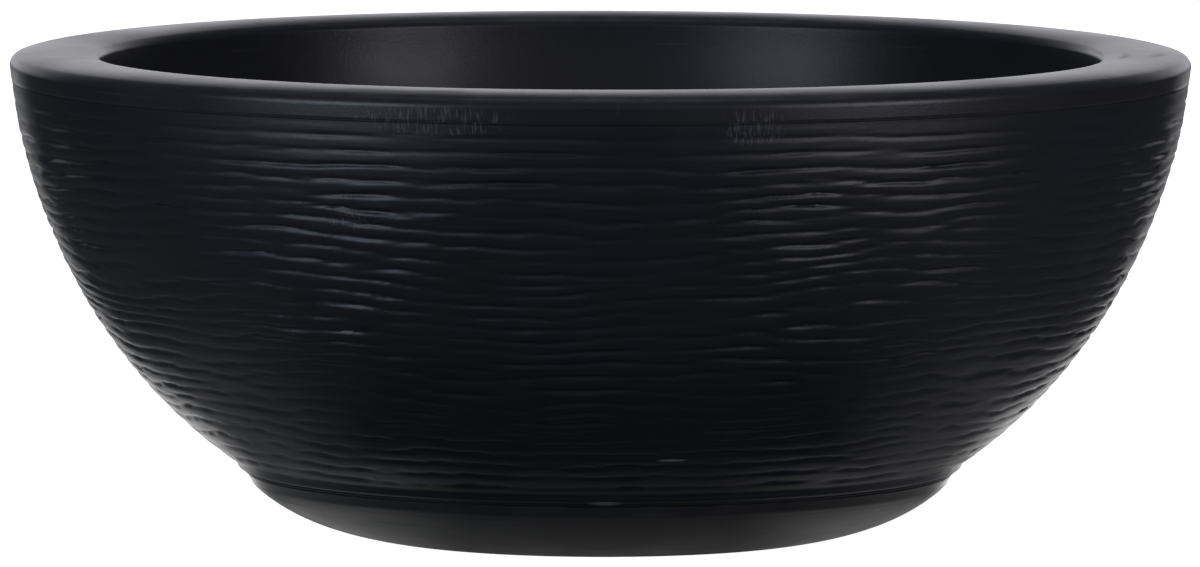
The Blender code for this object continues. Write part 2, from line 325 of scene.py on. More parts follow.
# ------------------------------------------------------------------------------------- shader groups
class Graph:
    """A thin helper over a node tree: it adds nodes, sets values and joins sockets."""

    def __init__(self, tree: bpy.types.NodeTree) -> None:
        """Keeps the tree that nodes go into."""
        self.tree = tree

    def add(self, kind: str, **values) -> bpy.types.Node:
        """Adds a node; keyword values set its own properties.

        Args:
            kind: The node's type.
            **values: Properties of the node and what they are set to.

        Returns:
            The new node.
        """
        node = self.tree.nodes.new(kind)
        for key, value in values.items():
            setattr(node, key, value)
        return node

    def feed(self, socket: bpy.types.NodeSocket, source: Source) -> None:
        """Gives a socket a link or a constant.

        Args:
            socket: The input that is fed.
            source: An output to join it to, or its value.
        """
        if isinstance(source, bpy.types.NodeSocket):
            self.tree.links.new(source, socket)
        else:
            socket.default_value = source

    def maths(self, operation: str, a: Source, b: Source = 0.0, clamp: bool = False) -> bpy.types.NodeSocket:
        """Result of a Math node on a and b.

        Args:
            operation: The node's operation.
            a: First input.
            b: Second input.
            clamp: True keeps the result between 0 and 1.

        Returns:
            The result.
        """
        node = self.add("ShaderNodeMath", operation=operation, use_clamp=clamp)
        self.feed(node.inputs[0], a)
        self.feed(node.inputs[1], b)
        return node.outputs[0]

    def blend(self, amount: Source, first: Source, second: Source) -> bpy.types.NodeSocket:
        """Colour that goes from first to second as amount goes from 0 to 1.

        Args:
            amount: The share of the second colour.
            first: Colour at 0.
            second: Colour at 1.

        Returns:
            The blended colour.
        """
        node = self.add("ShaderNodeMix", data_type="RGBA")
        self.feed(node.inputs["Factor"], amount)
        self.feed(node.inputs["A"], first)
        self.feed(node.inputs["B"], second)
        return node.outputs["Result"]

    def spread(self, value: Source, low: Source, high: Source, to_low: float = 0.0, to_high: float = 1.0,
               smooth: bool = False) -> bpy.types.NodeSocket:
        """Maps low..high on to to_low..to_high, holding the ends.

        Args:
            value: What is mapped.
            low: The value that gives to_low.
            high: The value that gives to_high.
            to_low: Result at and below low.
            to_high: Result at and above high.
            smooth: True eases between the ends, False goes straight.

        Returns:
            The mapped value.
        """
        node = self.add("ShaderNodeMapRange", interpolation_type="SMOOTHSTEP" if smooth else "LINEAR")
        for socket, source in zip(node.inputs, (value, low, high, to_low, to_high)):
            self.feed(socket, source)
        return node.outputs[0]

    def window(self, value: Source, rise: Point, fall: Point) -> bpy.types.NodeSocket:
        """Eases from 0 to 1 over one stretch of value, and back to 0 over a later stretch.

        Args:
            value: What is mapped.
            rise: The stretch that goes up.
            fall: The stretch that goes down.

        Returns:
            A mask from 0 to 1.
        """
        risen = self.spread(value, *rise, smooth=True)
        return self.maths("MULTIPLY", risen, self.spread(value, *fall, 1.0, 0.0, smooth=True))

    def noise(self, vector: Source, scale: Source, detail: float, roughness: float = 0.55) -> bpy.types.NodeSocket:
        """Factor of a Noise texture.

        Args:
            vector: Where the noise is read.
            scale: Its scale.
            detail: How many finer layers it has.
            roughness: How strong the finer layers are.

        Returns:
            Noise mostly between 0.25 and 0.75.
        """
        node = self.add("ShaderNodeTexNoise")
        self.feed(node.inputs["Vector"], vector)
        self.feed(node.inputs["Scale"], scale)
        node.inputs["Detail"].default_value = detail
        node.inputs["Roughness"].default_value = roughness
        return node.outputs["Fac"]


class SurfaceGroups:
    """The shader node groups that the plastics, rubber and steel share."""

    def __init__(self) -> None:
        """Builds each group once."""
        self.grain = self._grain()
        self.mottle = self._mottle()
        self.scratches = self._scratches()
        self.dust = self._dust()
        self.patch = self._patch()

    def _new(self, name: str, inputs: dict[str, float],
             outputs: tuple[str, ...]) -> tuple[bpy.types.NodeTree, Graph, bpy.types.Node, bpy.types.Node]:
        """Starts a group with named float sockets.

        Args:
            name: The group's name.
            inputs: Input names with their starting values.
            outputs: Output names.

        Returns:
            The group, its graph helper, its input node and its output node.
        """
        group = bpy.data.node_groups.new(name, "ShaderNodeTree")
        for label, value in inputs.items():
            socket = group.interface.new_socket(label, in_out="INPUT", socket_type="NodeSocketFloat")
            socket.default_value = value
        for label in outputs:
            group.interface.new_socket(label, in_out="OUTPUT", socket_type="NodeSocketFloat")
        graph = Graph(group)
        return group, graph, graph.add("NodeGroupInput"), graph.add("NodeGroupOutput")

    def _grain(self) -> bpy.types.NodeTree:
        """Fine pitted skin of a moulding: two sizes of noise, as a height.

        Returns:
            The group.
        """
        group, g, given, out = self._new("moulded_grain", {"Scale": 900.0, "Coarse": 0.4}, ("Height",))
        place = g.add("ShaderNodeTexCoord").outputs["Object"]
        fine = g.noise(place, given.outputs["Scale"], 2.0)
        wide = g.noise(place, g.maths("MULTIPLY", given.outputs["Scale"], 0.22), 2.0)
        height = g.maths("ADD", fine, g.maths("MULTIPLY", wide, given.outputs["Coarse"]))
        g.feed(out.inputs["Height"], height)
        return group

    def _mottle(self) -> bpy.types.NodeTree:
        """Slow cloudy change of tone over a moulding, from 0 to 1.

        Returns:
            The group.
        """
        group, g, given, out = self._new("cloudy_mottle", {"Scale": 14.0, "Contrast": 0.5}, ("Mask",))
        place = g.add("ShaderNodeTexCoord").outputs["Object"]
        cloud = g.noise(place, given.outputs["Scale"], 5.0, 0.6)
        half = g.maths("MULTIPLY", given.outputs["Contrast"], 0.5)
        low = g.maths("SUBTRACT", 0.5, half)
        high = g.maths("ADD", 0.5, half)
        g.feed(out.inputs["Mask"], g.spread(cloud, low, high))
        return group

    def _scratches(self) -> bpy.types.NodeTree:
        """Hair-fine marks: noise stretched along one direction, kept only at its peaks.

        Returns:
            The group.
        """
        inputs = {"Along": 12.0, "Across": 700.0, "Level": 0.64}
        group, g, given, out = self._new("hair_scratches", inputs, ("Level marks", "Upright marks"))
        place = g.add("ShaderNodeTexCoord").outputs["Object"]
        split = g.add("ShaderNodeSeparateXYZ")
        g.feed(split.inputs[0], place)
        for label, flat, upright in (("Level marks", "Along", "Across"), ("Upright marks", "Across", "Along")):
            join = g.add("ShaderNodeCombineXYZ")
            g.feed(join.inputs[0], g.maths("MULTIPLY", split.outputs[0], given.outputs[flat]))
            g.feed(join.inputs[1], g.maths("MULTIPLY", split.outputs[1], given.outputs[flat]))
            g.feed(join.inputs[2], g.maths("MULTIPLY", split.outputs[2], given.outputs[upright]))
            peaks = g.noise(join.outputs[0], 1.0, 2.0, 0.5)
            level = given.outputs["Level"]
            g.feed(out.inputs[label], g.spread(peaks, level, g.maths("ADD", level, 0.12)))
        return group

    def _dust(self) -> bpy.types.NodeTree:
        """Faint dust on faces that look up: the normal's height times cloudy noise.

        Returns:
            The group.
        """
        group, g, given, out = self._new("settled_dust", {"Scale": 60.0, "Reach": 0.5}, ("Mask",))
        split = g.add("ShaderNodeSeparateXYZ")
        g.feed(split.inputs[0], g.add("ShaderNodeNewGeometry").outputs["Normal"])
        facing = g.spread(split.outputs[2], given.outputs["Reach"], 1.0)
        place = g.add("ShaderNodeTexCoord").outputs["Object"]
        specks = g.spread(g.noise(place, given.outputs["Scale"], 6.0, 0.7), 0.42, 0.75)
        g.feed(out.inputs["Mask"], g.maths("MULTIPLY", facing, specks))
        return group

    def _patch(self) -> bpy.types.NodeTree:
        """An oval spot on the front: 1 inside, easing to 0 where (x / wide)^2 + (z / tall)^2 passes 1.

        Returns:
            The group.
        """
        inputs = {"X": 0.0, "Z": 0.1, "Wide": 0.03, "Tall": 0.01}
        group, g, given, out = self._new("scuff_and_glint_patch", inputs, ("Mask",))
        split = g.add("ShaderNodeSeparateXYZ")
        g.feed(split.inputs[0], g.add("ShaderNodeTexCoord").outputs["Object"])
        across = g.maths("DIVIDE", g.maths("SUBTRACT", split.outputs[0], given.outputs["X"]), given.outputs["Wide"])
        along = g.maths("DIVIDE", g.maths("SUBTRACT", split.outputs[2], given.outputs["Z"]), given.outputs["Tall"])
        far = g.maths("ADD", g.maths("MULTIPLY", across, across), g.maths("MULTIPLY", along, along))
        spot = g.spread(far, 0.35, 1.0, 1.0, 0.0, smooth=True)
        g.feed(out.inputs["Mask"], g.maths("MULTIPLY", spot, g.maths("LESS_THAN", split.outputs[1], 0.0)))
        return group


# ---------------------------------------------------------------------------------------- finishes
DUST_TONE = (0.32, 0.31, 0.29, 1.0)
RUBBED_TONE = (0.10, 0.10, 0.11, 1.0)
# Pale tone of the nick spots: a painted glint that stands in for light caught on a moulding nick.
NICK_GLINT_TONE = (0.085, 0.085, 0.088, 1.0)


@dataclass(frozen=True)
class Finish:
    """One finish: its tones, its gloss and how strong each shared effect is.

    Rubs are oval spots of wear on the front. Nick spots are oval spots of painted highlight: pale glints painted where
    a moulding nick catches the light. Each is given as x, z, half width and half height in metres.
    """

    name: str
    slot: str
    tone: tuple[float, float, float]
    pale: tuple[float, float, float]
    roughness: float
    rough_change: float = 0.08
    specular: float = 0.35
    metallic: float = 0.0
    grain_scale: float = 900.0
    grain_depth: float = 0.05 * MM
    mottle_scale: float = 14.0
    scratch_level: float = 0.66
    scratch_tone: float = 0.12
    upright_marks: float = 0.0
    dust: float = 0.10
    rubs: tuple[Spot, ...] = ()
    nick_glints: tuple[Spot, ...] = ()
    rub_strength: float = 0.32
    scuff_roughness: float = 0.12
    scuff_depth: float = 0.3

    def material(self, groups: SurfaceGroups) -> bpy.types.Material:
        """Builds the finish's node tree.

        Args:
            groups: The shared shader groups.

        Returns:
            The finished material.
        """
        made = bpy.data.materials.new(self.name)
        made.use_nodes = True
        g = Graph(made.node_tree)
        shader = made.node_tree.nodes["Principled BSDF"]
        mottle = self._place(g, groups.mottle, Scale=self.mottle_scale, Contrast=0.5).outputs["Mask"]
        marks = self._place(g, groups.scratches, Level=self.scratch_level)
        scuffs = g.maths("ADD", marks.outputs["Level marks"],
                         g.maths("MULTIPLY", marks.outputs["Upright marks"], self.upright_marks), True)
        g.feed(shader.inputs["Base Color"], self._colour(g, groups, mottle, scuffs))
        change = g.spread(mottle, 0.0, 1.0, self.roughness - self.rough_change, self.roughness + self.rough_change)
        rough = g.maths("ADD", change, g.maths("MULTIPLY", scuffs, self.scuff_roughness), True)
        g.feed(shader.inputs["Roughness"], rough)
        shader.inputs["Metallic"].default_value = self.metallic
        shader.inputs["Specular IOR Level"].default_value = self.specular
        grain = self._place(g, groups.grain, Scale=self.grain_scale)
        bump = g.add("ShaderNodeBump")
        bump.inputs["Distance"].default_value = self.grain_depth
        bump.inputs["Strength"].default_value = 1.0
        worn_in = g.maths("MULTIPLY", scuffs, self.scuff_depth)
        g.feed(bump.inputs["Height"], g.maths("SUBTRACT", grain.outputs["Height"], worn_in))
        g.feed(shader.inputs["Normal"], bump.outputs["Normal"])
        return made

    def _colour(self, g: Graph, groups: SurfaceGroups, mottle: bpy.types.NodeSocket,
                scuffs: bpy.types.NodeSocket) -> bpy.types.NodeSocket:
        """Colour in layers: cloudy tone, paler scuffs, dust, the rubbed spots, then the nick spots, pale glints of
        painted highlight.

        Args:
            g: The material's graph.
            groups: The shared shader groups.
            mottle: The cloudy mask between the two tones.
            scuffs: The hair scratches' mask.

        Returns:
            The base colour.
        """
        colour = g.blend(mottle, (*self.tone, 1.0), (*self.pale, 1.0))
        worn = tuple(min(1.0, c * 3.0 + 0.03) for c in self.pale)
        colour = g.blend(g.maths("MULTIPLY", scuffs, self.scratch_tone), colour, (*worn, 1.0))
        dust = self._place(g, groups.dust)
        colour = g.blend(g.maths("MULTIPLY", dust.outputs["Mask"], self.dust), colour, DUST_TONE)
        if self.rubs:
            hairs = self._place(g, groups.scratches, Level=0.52, Across=1500.0, Along=30.0)
        for x, z, wide, tall in self.rubs:
            spot = self._place(g, groups.patch, X=x, Z=z, Wide=wide, Tall=tall)
            rubbed = g.maths("MULTIPLY", spot.outputs["Mask"], hairs.outputs["Upright marks"])
            colour = g.blend(g.maths("MULTIPLY", rubbed, self.rub_strength), colour, RUBBED_TONE)
        # Nick spots: painted highlight, pale glints painted at the lip and just above it.
        for x, z, wide, tall in self.nick_glints:
            spot = self._place(g, groups.patch, X=x, Z=z, Wide=wide, Tall=tall)
            colour = g.blend(spot.outputs["Mask"], colour, NICK_GLINT_TONE)
        return colour

    @staticmethod
    def _place(g: Graph, group: bpy.types.NodeTree, **values: float) -> bpy.types.Node:
        """Adds a shared group to the material with its own values.

        Args:
            g: The material's graph.
            group: The shared group.
            **values: The group's inputs and their values.

        Returns:
            The group's node.
        """
        node = g.add("ShaderNodeGroup", node_tree=group)
        for label, value in values.items():
            node.inputs[label].default_value = value
        return node


class Plastic(Enum):
    """The planter's finishes."""

    RIDGED = Finish("ridged_black_polyethylene", "ridged_black_plastic", (0.0036, 0.0044, 0.0064),
                    (0.0052, 0.0062, 0.0088), 0.41, rough_change=0.05, specular=0.25, upright_marks=0.35,
                    mottle_scale=18.0, dust=0.03, scratch_tone=0.06,
                    rubs=((-0.063, 0.1715, 0.030, 0.0030), (0.056, 0.1700, 0.013, 0.0050),
                          (-0.092, 0.135, 0.009, 0.004)),
                    # The nick spots are painted highlights: pale glints painted on the wall at the lip and just above
                    # it.
                    nick_glints=((0.0022, 0.0253, 0.0078, 0.0008), (0.0268, 0.0436, 0.0062, 0.0006)))
    SMOOTH = Finish("smooth_black_polyethylene", "smooth_black_plastic", (0.0068, 0.0072, 0.0092),
                    (0.0092, 0.0098, 0.0120), 0.34, rough_change=0.04, specular=0.25, upright_marks=0.8,
                    mottle_scale=22.0, dust=0.05,
                    rubs=((-0.063, 0.1755, 0.034, 0.0045), (0.056, 0.1745, 0.013, 0.0050)))
    FOOT = Finish("foot_black_polyethylene", "foot_black_plastic", (0.008, 0.0083, 0.0084),
                  (0.012, 0.0122, 0.0115), 0.38, specular=0.30, scratch_level=0.62, scratch_tone=0.2, mottle_scale=30.0)
    DRAIN = Finish("drain_polypropylene", "drain_black_plastic", (0.012, 0.012, 0.013),
                   (0.018, 0.018, 0.020), 0.34, mottle_scale=90.0, grain_scale=1600.0)
    RUBBER = Finish("soft_black_rubber", "black_rubber", (0.012, 0.012, 0.012), (0.022, 0.022, 0.021),
                    0.72, specular=0.25, mottle_scale=160.0, grain_scale=2400.0, grain_depth=0.02 * MM)
    STEEL = Finish("stainless_screw_steel", "stainless_steel", (0.52, 0.52, 0.51), (0.62, 0.62, 0.60),
                   0.26, metallic=1.0, specular=0.5, mottle_scale=300.0, grain_scale=3000.0,
                   grain_depth=0.01 * MM, scratch_tone=0.05, dust=0.03)


class Dresser:
    """Gives pieces their finish and body, and reports them."""

    def __init__(self) -> None:
        """Builds each material once."""
        groups = SurfaceGroups()
        self.materials = {plastic: plastic.value.material(groups) for plastic in Plastic}

    def dress(self, piece: bpy.types.Object, plastic: Plastic, body: Body, *nodes: str) -> None:
        """Finishes one piece and hides the frame nodes that it stands for.

        Args:
            piece: The new piece.
            plastic: Its finish.
            body: The body it rides on.
            nodes: The frame's nodes that it replaces.
        """
        piece.data.materials.clear()
        piece.data.materials.append(self.materials[plastic])
        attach(piece, body.value)
        if nodes:
            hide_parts(*nodes)
        LOG.info("%s: %d faces, finish %s", piece.name, len(piece.data.polygons), plastic.name.lower())


# ------------------------------------------------------------------------------------- bowl sizes
@dataclass(frozen=True)
class BowlForm:
    """The bowl's governing sizes, read from the frame's boxes, in metres."""

    height: float
    band_bottom: float
    lip_height: float
    soil_floor: float
    wall: float = 3.0 * MM
    gap: float = 0.3 * MM
    centre_radius: float = 51.7 * MM
    reach: float = 175.0 * MM
    centre_rise: float = 22.5 * MM
    depth: float = 206.8 * MM
    soil_centre_radius: float = 45.0 * MM
    soil_reach: float = 146.0 * MM
    soil_depth: float = 160.0 * MM
    rim_inner_radius: float = 194.5 * MM
    rim_inner_fillet: float = 3.5 * MM
    rim_outer_fillet: float = 4.0 * MM

    @classmethod
    def from_frame(cls) -> "BowlForm":
        """Reads the rim, the band, the lip and the soil floor from the frame's nodes."""
        bowl_low, bowl_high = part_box("inner_bowl")
        shell_low, shell_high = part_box("outer_shell")
        tuck = 5.0 * MM
        well = 5.0 * MM
        return cls(height=bowl_high.z, band_bottom=shell_high.z - tuck + cls.gap, lip_height=shell_low.z,
                   soil_floor=bowl_low.z + cls.wall + well)

    def outer(self, height: np.ndarray) -> np.ndarray:
        """Outer wall: centre radius + reach x sqrt(1 - ((height - centre height) / depth)^2)."""
        fall = (height - self.height - self.centre_rise) / self.depth
        return self.centre_radius + self.reach * np.sqrt(1.0 - fall**2)

    def soil(self, height: np.ndarray) -> np.ndarray:
        """Soil bowl: centre radius + reach x sqrt(1 - ((height - rim height) / depth)^2)."""
        fall = (height - self.height) / self.soil_depth
        return self.soil_centre_radius + self.soil_reach * np.sqrt(1.0 - fall**2)

    def offset(self, curve: Curve, distance: float, heights: np.ndarray) -> np.ndarray:
        """Points moved square off a wall: r + d / n and z - d r' / n, where n = sqrt(1 + r'^2).

        Args:
            curve: The wall's radius as a function of height.
            distance: How far outwards the points move.
            heights: Heights on the wall.

        Returns:
            Radii and heights in two columns.
        """
        slope = (curve(heights + SLOPE_STEP) - curve(heights - SLOPE_STEP)) / (2 * SLOPE_STEP)
        length = np.sqrt(1.0 + slope**2)
        return np.stack([curve(heights) + distance / length, heights - distance * slope / length], axis=-1)


# ---------------------------------------------------------------------------------------- ridges
@dataclass(frozen=True)
class Swell:
    """One soft rise in the ridges' flow: how many ridges it lifts them by, where, and over what reach."""

    azimuth: float
    depth: float
    lift: float
    wide: float
    tall: float

    def over(self, azimuth: np.ndarray, depth: np.ndarray) -> np.ndarray:
        """Lift x exp(-(turn from its middle / wide)^2 - ((depth - its depth) / tall)^2).

        Args:
            azimuth: Azimuths in radians.
            depth: Depths below the rim in metres.

        Returns:
            The swell's share of the ridge count at each point.
        """
        turn = (azimuth - math.radians(self.azimuth) + math.pi) % TURN - math.pi
        return self.lift * np.exp(-(turn / math.radians(self.wide)) ** 2 - ((depth - self.depth) / self.tall) ** 2)


@dataclass
class RidgeField:
    """The wavy ridges of the outer wall, as a height over azimuth and depth below the rim."""

    seed: int = 23
    top_pitch: float = 5.75 * MM
    bottom_pitch: float = 4.55 * MM
    relief: float = 0.47 * MM
    stand: float = 0.12 * MM
    low_share: float = 0.70
    first_groove: float = 12.3 * MM
    lip: float = 160.2 * MM
    groove_sharpness: float = 4.2
    groove_cut: float = 1.75
    start_share: float = 0.32
    growth: float = 20.0 * MM
    sink: float = 1.6 * MM
    bead_share: float = 1.5
    random_swells: int = 70
    quiet_lift: float = 0.25
    forks: int = 26
    fork_reach: float = 3.5 * MM
    mean_radius: float = 0.2
    rng: np.random.Generator = field(init=False)
    front: tuple[Swell, ...] = (
        Swell(-128.0, 60.0 * MM, 0.75, 17.0, 26.0 * MM),
        Swell(-99.0, 66.0 * MM, -0.80, 15.0, 26.0 * MM),
        Swell(-66.0, 74.0 * MM, 0.80, 13.0, 13.0 * MM),
        Swell(-64.0, 90.0 * MM, -0.45, 16.0, 10.0 * MM),
        Swell(-50.0, 60.0 * MM, 0.45, 14.0, 24.0 * MM),
        Swell(-88.0, 27.0 * MM, 0.45, 10.0, 9.0 * MM),
        Swell(-77.0, 31.0 * MM, -0.45, 7.0, 9.0 * MM),
        Swell(-120.0, 112.0 * MM, 0.55, 15.0, 16.0 * MM),
        Swell(-100.0, 118.0 * MM, -0.35, 14.0, 14.0 * MM),
        Swell(-152.0, 132.0 * MM, 0.60, 12.0, 12.0 * MM),
        Swell(-28.0, 128.0 * MM, -0.50, 12.0, 16.0 * MM),
    )

    def __post_init__(self) -> None:
        """Starts the seeded generator."""
        self.rng = np.random.default_rng(self.seed)

    def waves(self, azimuth: np.ndarray, depth: np.ndarray, low: int, high: int, tall: float,
              count: int) -> np.ndarray:
        """Smooth noise that closes round the bowl: a mean of cosines of (k azimuth + m depth + phase).

        Args:
            azimuth: Azimuths in radians.
            depth: Depths below the rim in metres.
            low: Fewest waves round the bowl.
            high: Most waves round the bowl.
            tall: Typical height of one blotch, in metres.
            count: How many cosines are summed.

        Returns:
            Values mostly between -1 and 1.
        """
        k = self.rng.integers(low, high + 1, count)
        m = self.rng.normal(0.0, 1.0, count) * TURN / tall
        phase = self.rng.uniform(0.0, TURN, count)
        total = np.zeros(np.broadcast(azimuth, depth).shape)
        for wave in zip(k, m, phase):
            total += np.cos(wave[0] * azimuth + wave[1] * depth + wave[2])
        return total * math.sqrt(2.0 / count) * 0.6

    def sway(self, azimuth: np.ndarray, depth: np.ndarray) -> np.ndarray:
        """How many ridges the flow is lifted by: the front's swells, and seeded ones round the rest.

        Args:
            azimuth: Azimuths in radians.
            depth: Depths below the rim in metres.

        Returns:
            The lift in ridge counts.
        """
        total = np.zeros(np.broadcast(azimuth, depth).shape)
        for swell in self.front:
            total += swell.over(azimuth, depth)
        for _ in range(self.random_swells):
            place = self.rng.uniform(-180.0, 180.0)
            low = self.rng.uniform(24.0, 152.0) * MM
            lift = self.rng.normal(0.0, 0.55)
            quiet = self.quiet_lift if -135.0 < place < -40.0 else 1.0
            swell = Swell(place, low, lift * quiet, self.rng.uniform(7.0, 17.0), self.rng.uniform(7.0, 20.0) * MM)
            total += swell.over(azimuth, depth)
        return total

    def phase(self, azimuth: np.ndarray, depth: np.ndarray) -> np.ndarray:
        """Ridge phase: 2 pi x (ridges counted from the first groove + sway) plus a full turn round each fork.

        Args:
            azimuth: Azimuths in radians.
            depth: Depths below the rim in metres.

        Returns:
            Phase in radians; odd multiples of pi are grooves.
        """
        share = (depth - self.first_groove) / (self.lip - self.first_groove)
        pitch = self.top_pitch + (self.bottom_pitch - self.top_pitch) * share / 2.0
        count = (depth - self.first_groove) / pitch
        calm = np.clip((share - 0.02) / 0.16, 0.0, 1.0) * np.clip((1.0 - share) / 0.12, 0.0, 1.0)
        sway = self.sway(azimuth, depth)
        sway += 0.12 * self.waves(azimuth, depth, 12, 40, 0.018, 40)
        sway += 0.07 * self.waves(azimuth, depth, 50, 110, 0.006, 60)
        return TURN * (count + sway * calm) + math.pi

    def fork_turns(self, azimuth: np.ndarray, depth: np.ndarray) -> tuple[np.ndarray, np.ndarray]:
        """Sum over forks of +-arg(sin((w - w0) / 2)), w = azimuth + i depth / radius, in pairs that cancel.

        Args:
            azimuth: Azimuths in radians.
            depth: Depths below the rim in metres.

        Returns:
            The forks' share of the phase in radians, and how far the ridges fade near them, from 0 to 1.
        """
        w = azimuth + 1j * depth / self.mean_radius
        total = np.zeros(w.shape)
        fade = np.ones(w.shape)
        for _ in range(self.forks):
            a0 = self.rng.uniform(0.0, TURN)
            d0 = self.rng.uniform(0.030, 0.148)
            apart = self.rng.uniform(0.12, 0.30) * self.rng.choice((-1.0, 1.0))
            drop = self.rng.normal(0.0, 0.003)
            for sign, a, d in ((1.0, a0, d0), (-1.0, a0 + apart, d0 + drop)):
                off = np.sin((w - a - 1j * d / self.mean_radius) / 2.0)
                total += sign * np.angle(off)
                fade *= 1.0 - 0.9 * np.exp(-((2.0 * self.mean_radius * np.abs(off) / self.fork_reach) ** 2))
        return total, fade

    def height(self, azimuth: np.ndarray, depth: np.ndarray) -> np.ndarray:
        """Relief: wide faces and narrow grooves, a - b ((1 - cos phase) / 2)^sharpness, with broken grooves.

        The ridges start shallow under the rim, level with the band, and grow to their full height further down. One
        even bead closes the wall at the lip.

        Args:
            azimuth: Azimuths in radians.
            depth: Depths below the rim in metres.

        Returns:
            How far each point stands off the wall, in metres.
        """
        forks, fade = self.fork_turns(azimuth, depth)
        turn = self.phase(azimuth, depth) + forks
        groove = ((1.0 - np.cos(turn)) / 2.0) ** self.groove_sharpness
        broken = 0.70 + 0.55 * self.waves(azimuth, depth, 6, 26, 0.009, 60)
        broken = np.clip(broken + 0.42 * self.waves(azimuth, depth, 30, 85, 0.0055, 80), 0.0, 1.3)
        strength = np.clip(0.95 + 0.25 * self.waves(azimuth, depth, 4, 18, 0.016, 40), 0.5, 1.25)
        fibre = 0.08 * self.waves(azimuth, depth, 3, 16, 0.0042, 60)
        fibre += 0.09 * self.waves(azimuth, depth, 20, 80, 0.005, 70)
        face = 0.55 + 0.10 * np.cos(turn + 0.6)
        bead = np.clip((depth - self.lip + 4.4 * MM) / (1.2 * MM), 0.0, 1.0)
        bead_top = np.cos(np.clip((depth - self.lip + 1.7 * MM) / (2.6 * MM), -1.0, 1.0) * math.pi)
        body = strength * fade * (face - self.groove_cut * groove * broken) + fibre
        body = body * (1.0 - bead) + bead * self.bead_share * bead_top
        start = np.clip((depth - self.first_groove) / self.growth, 0.0, 1.0)
        grown = self.start_share + (1.0 - self.start_share) * start * start * (3.0 - 2.0 * start)
        sunk = np.clip((self.first_groove + self.sink - depth) / self.sink, 0.0, 1.0)
        level = self.stand - (1.0 - grown) * (self.stand + 0.5 * self.relief)
        down = (depth - self.first_groove) / (self.lip - self.first_groove)
        grown = grown * (1.0 - (1.0 - self.low_share) * np.clip(down, 0.0, 1.0) * (1.0 - bead))
        return (self.relief * grown * body + level) * (1.0 - sunk) - sunk * 0.15 * self.relief


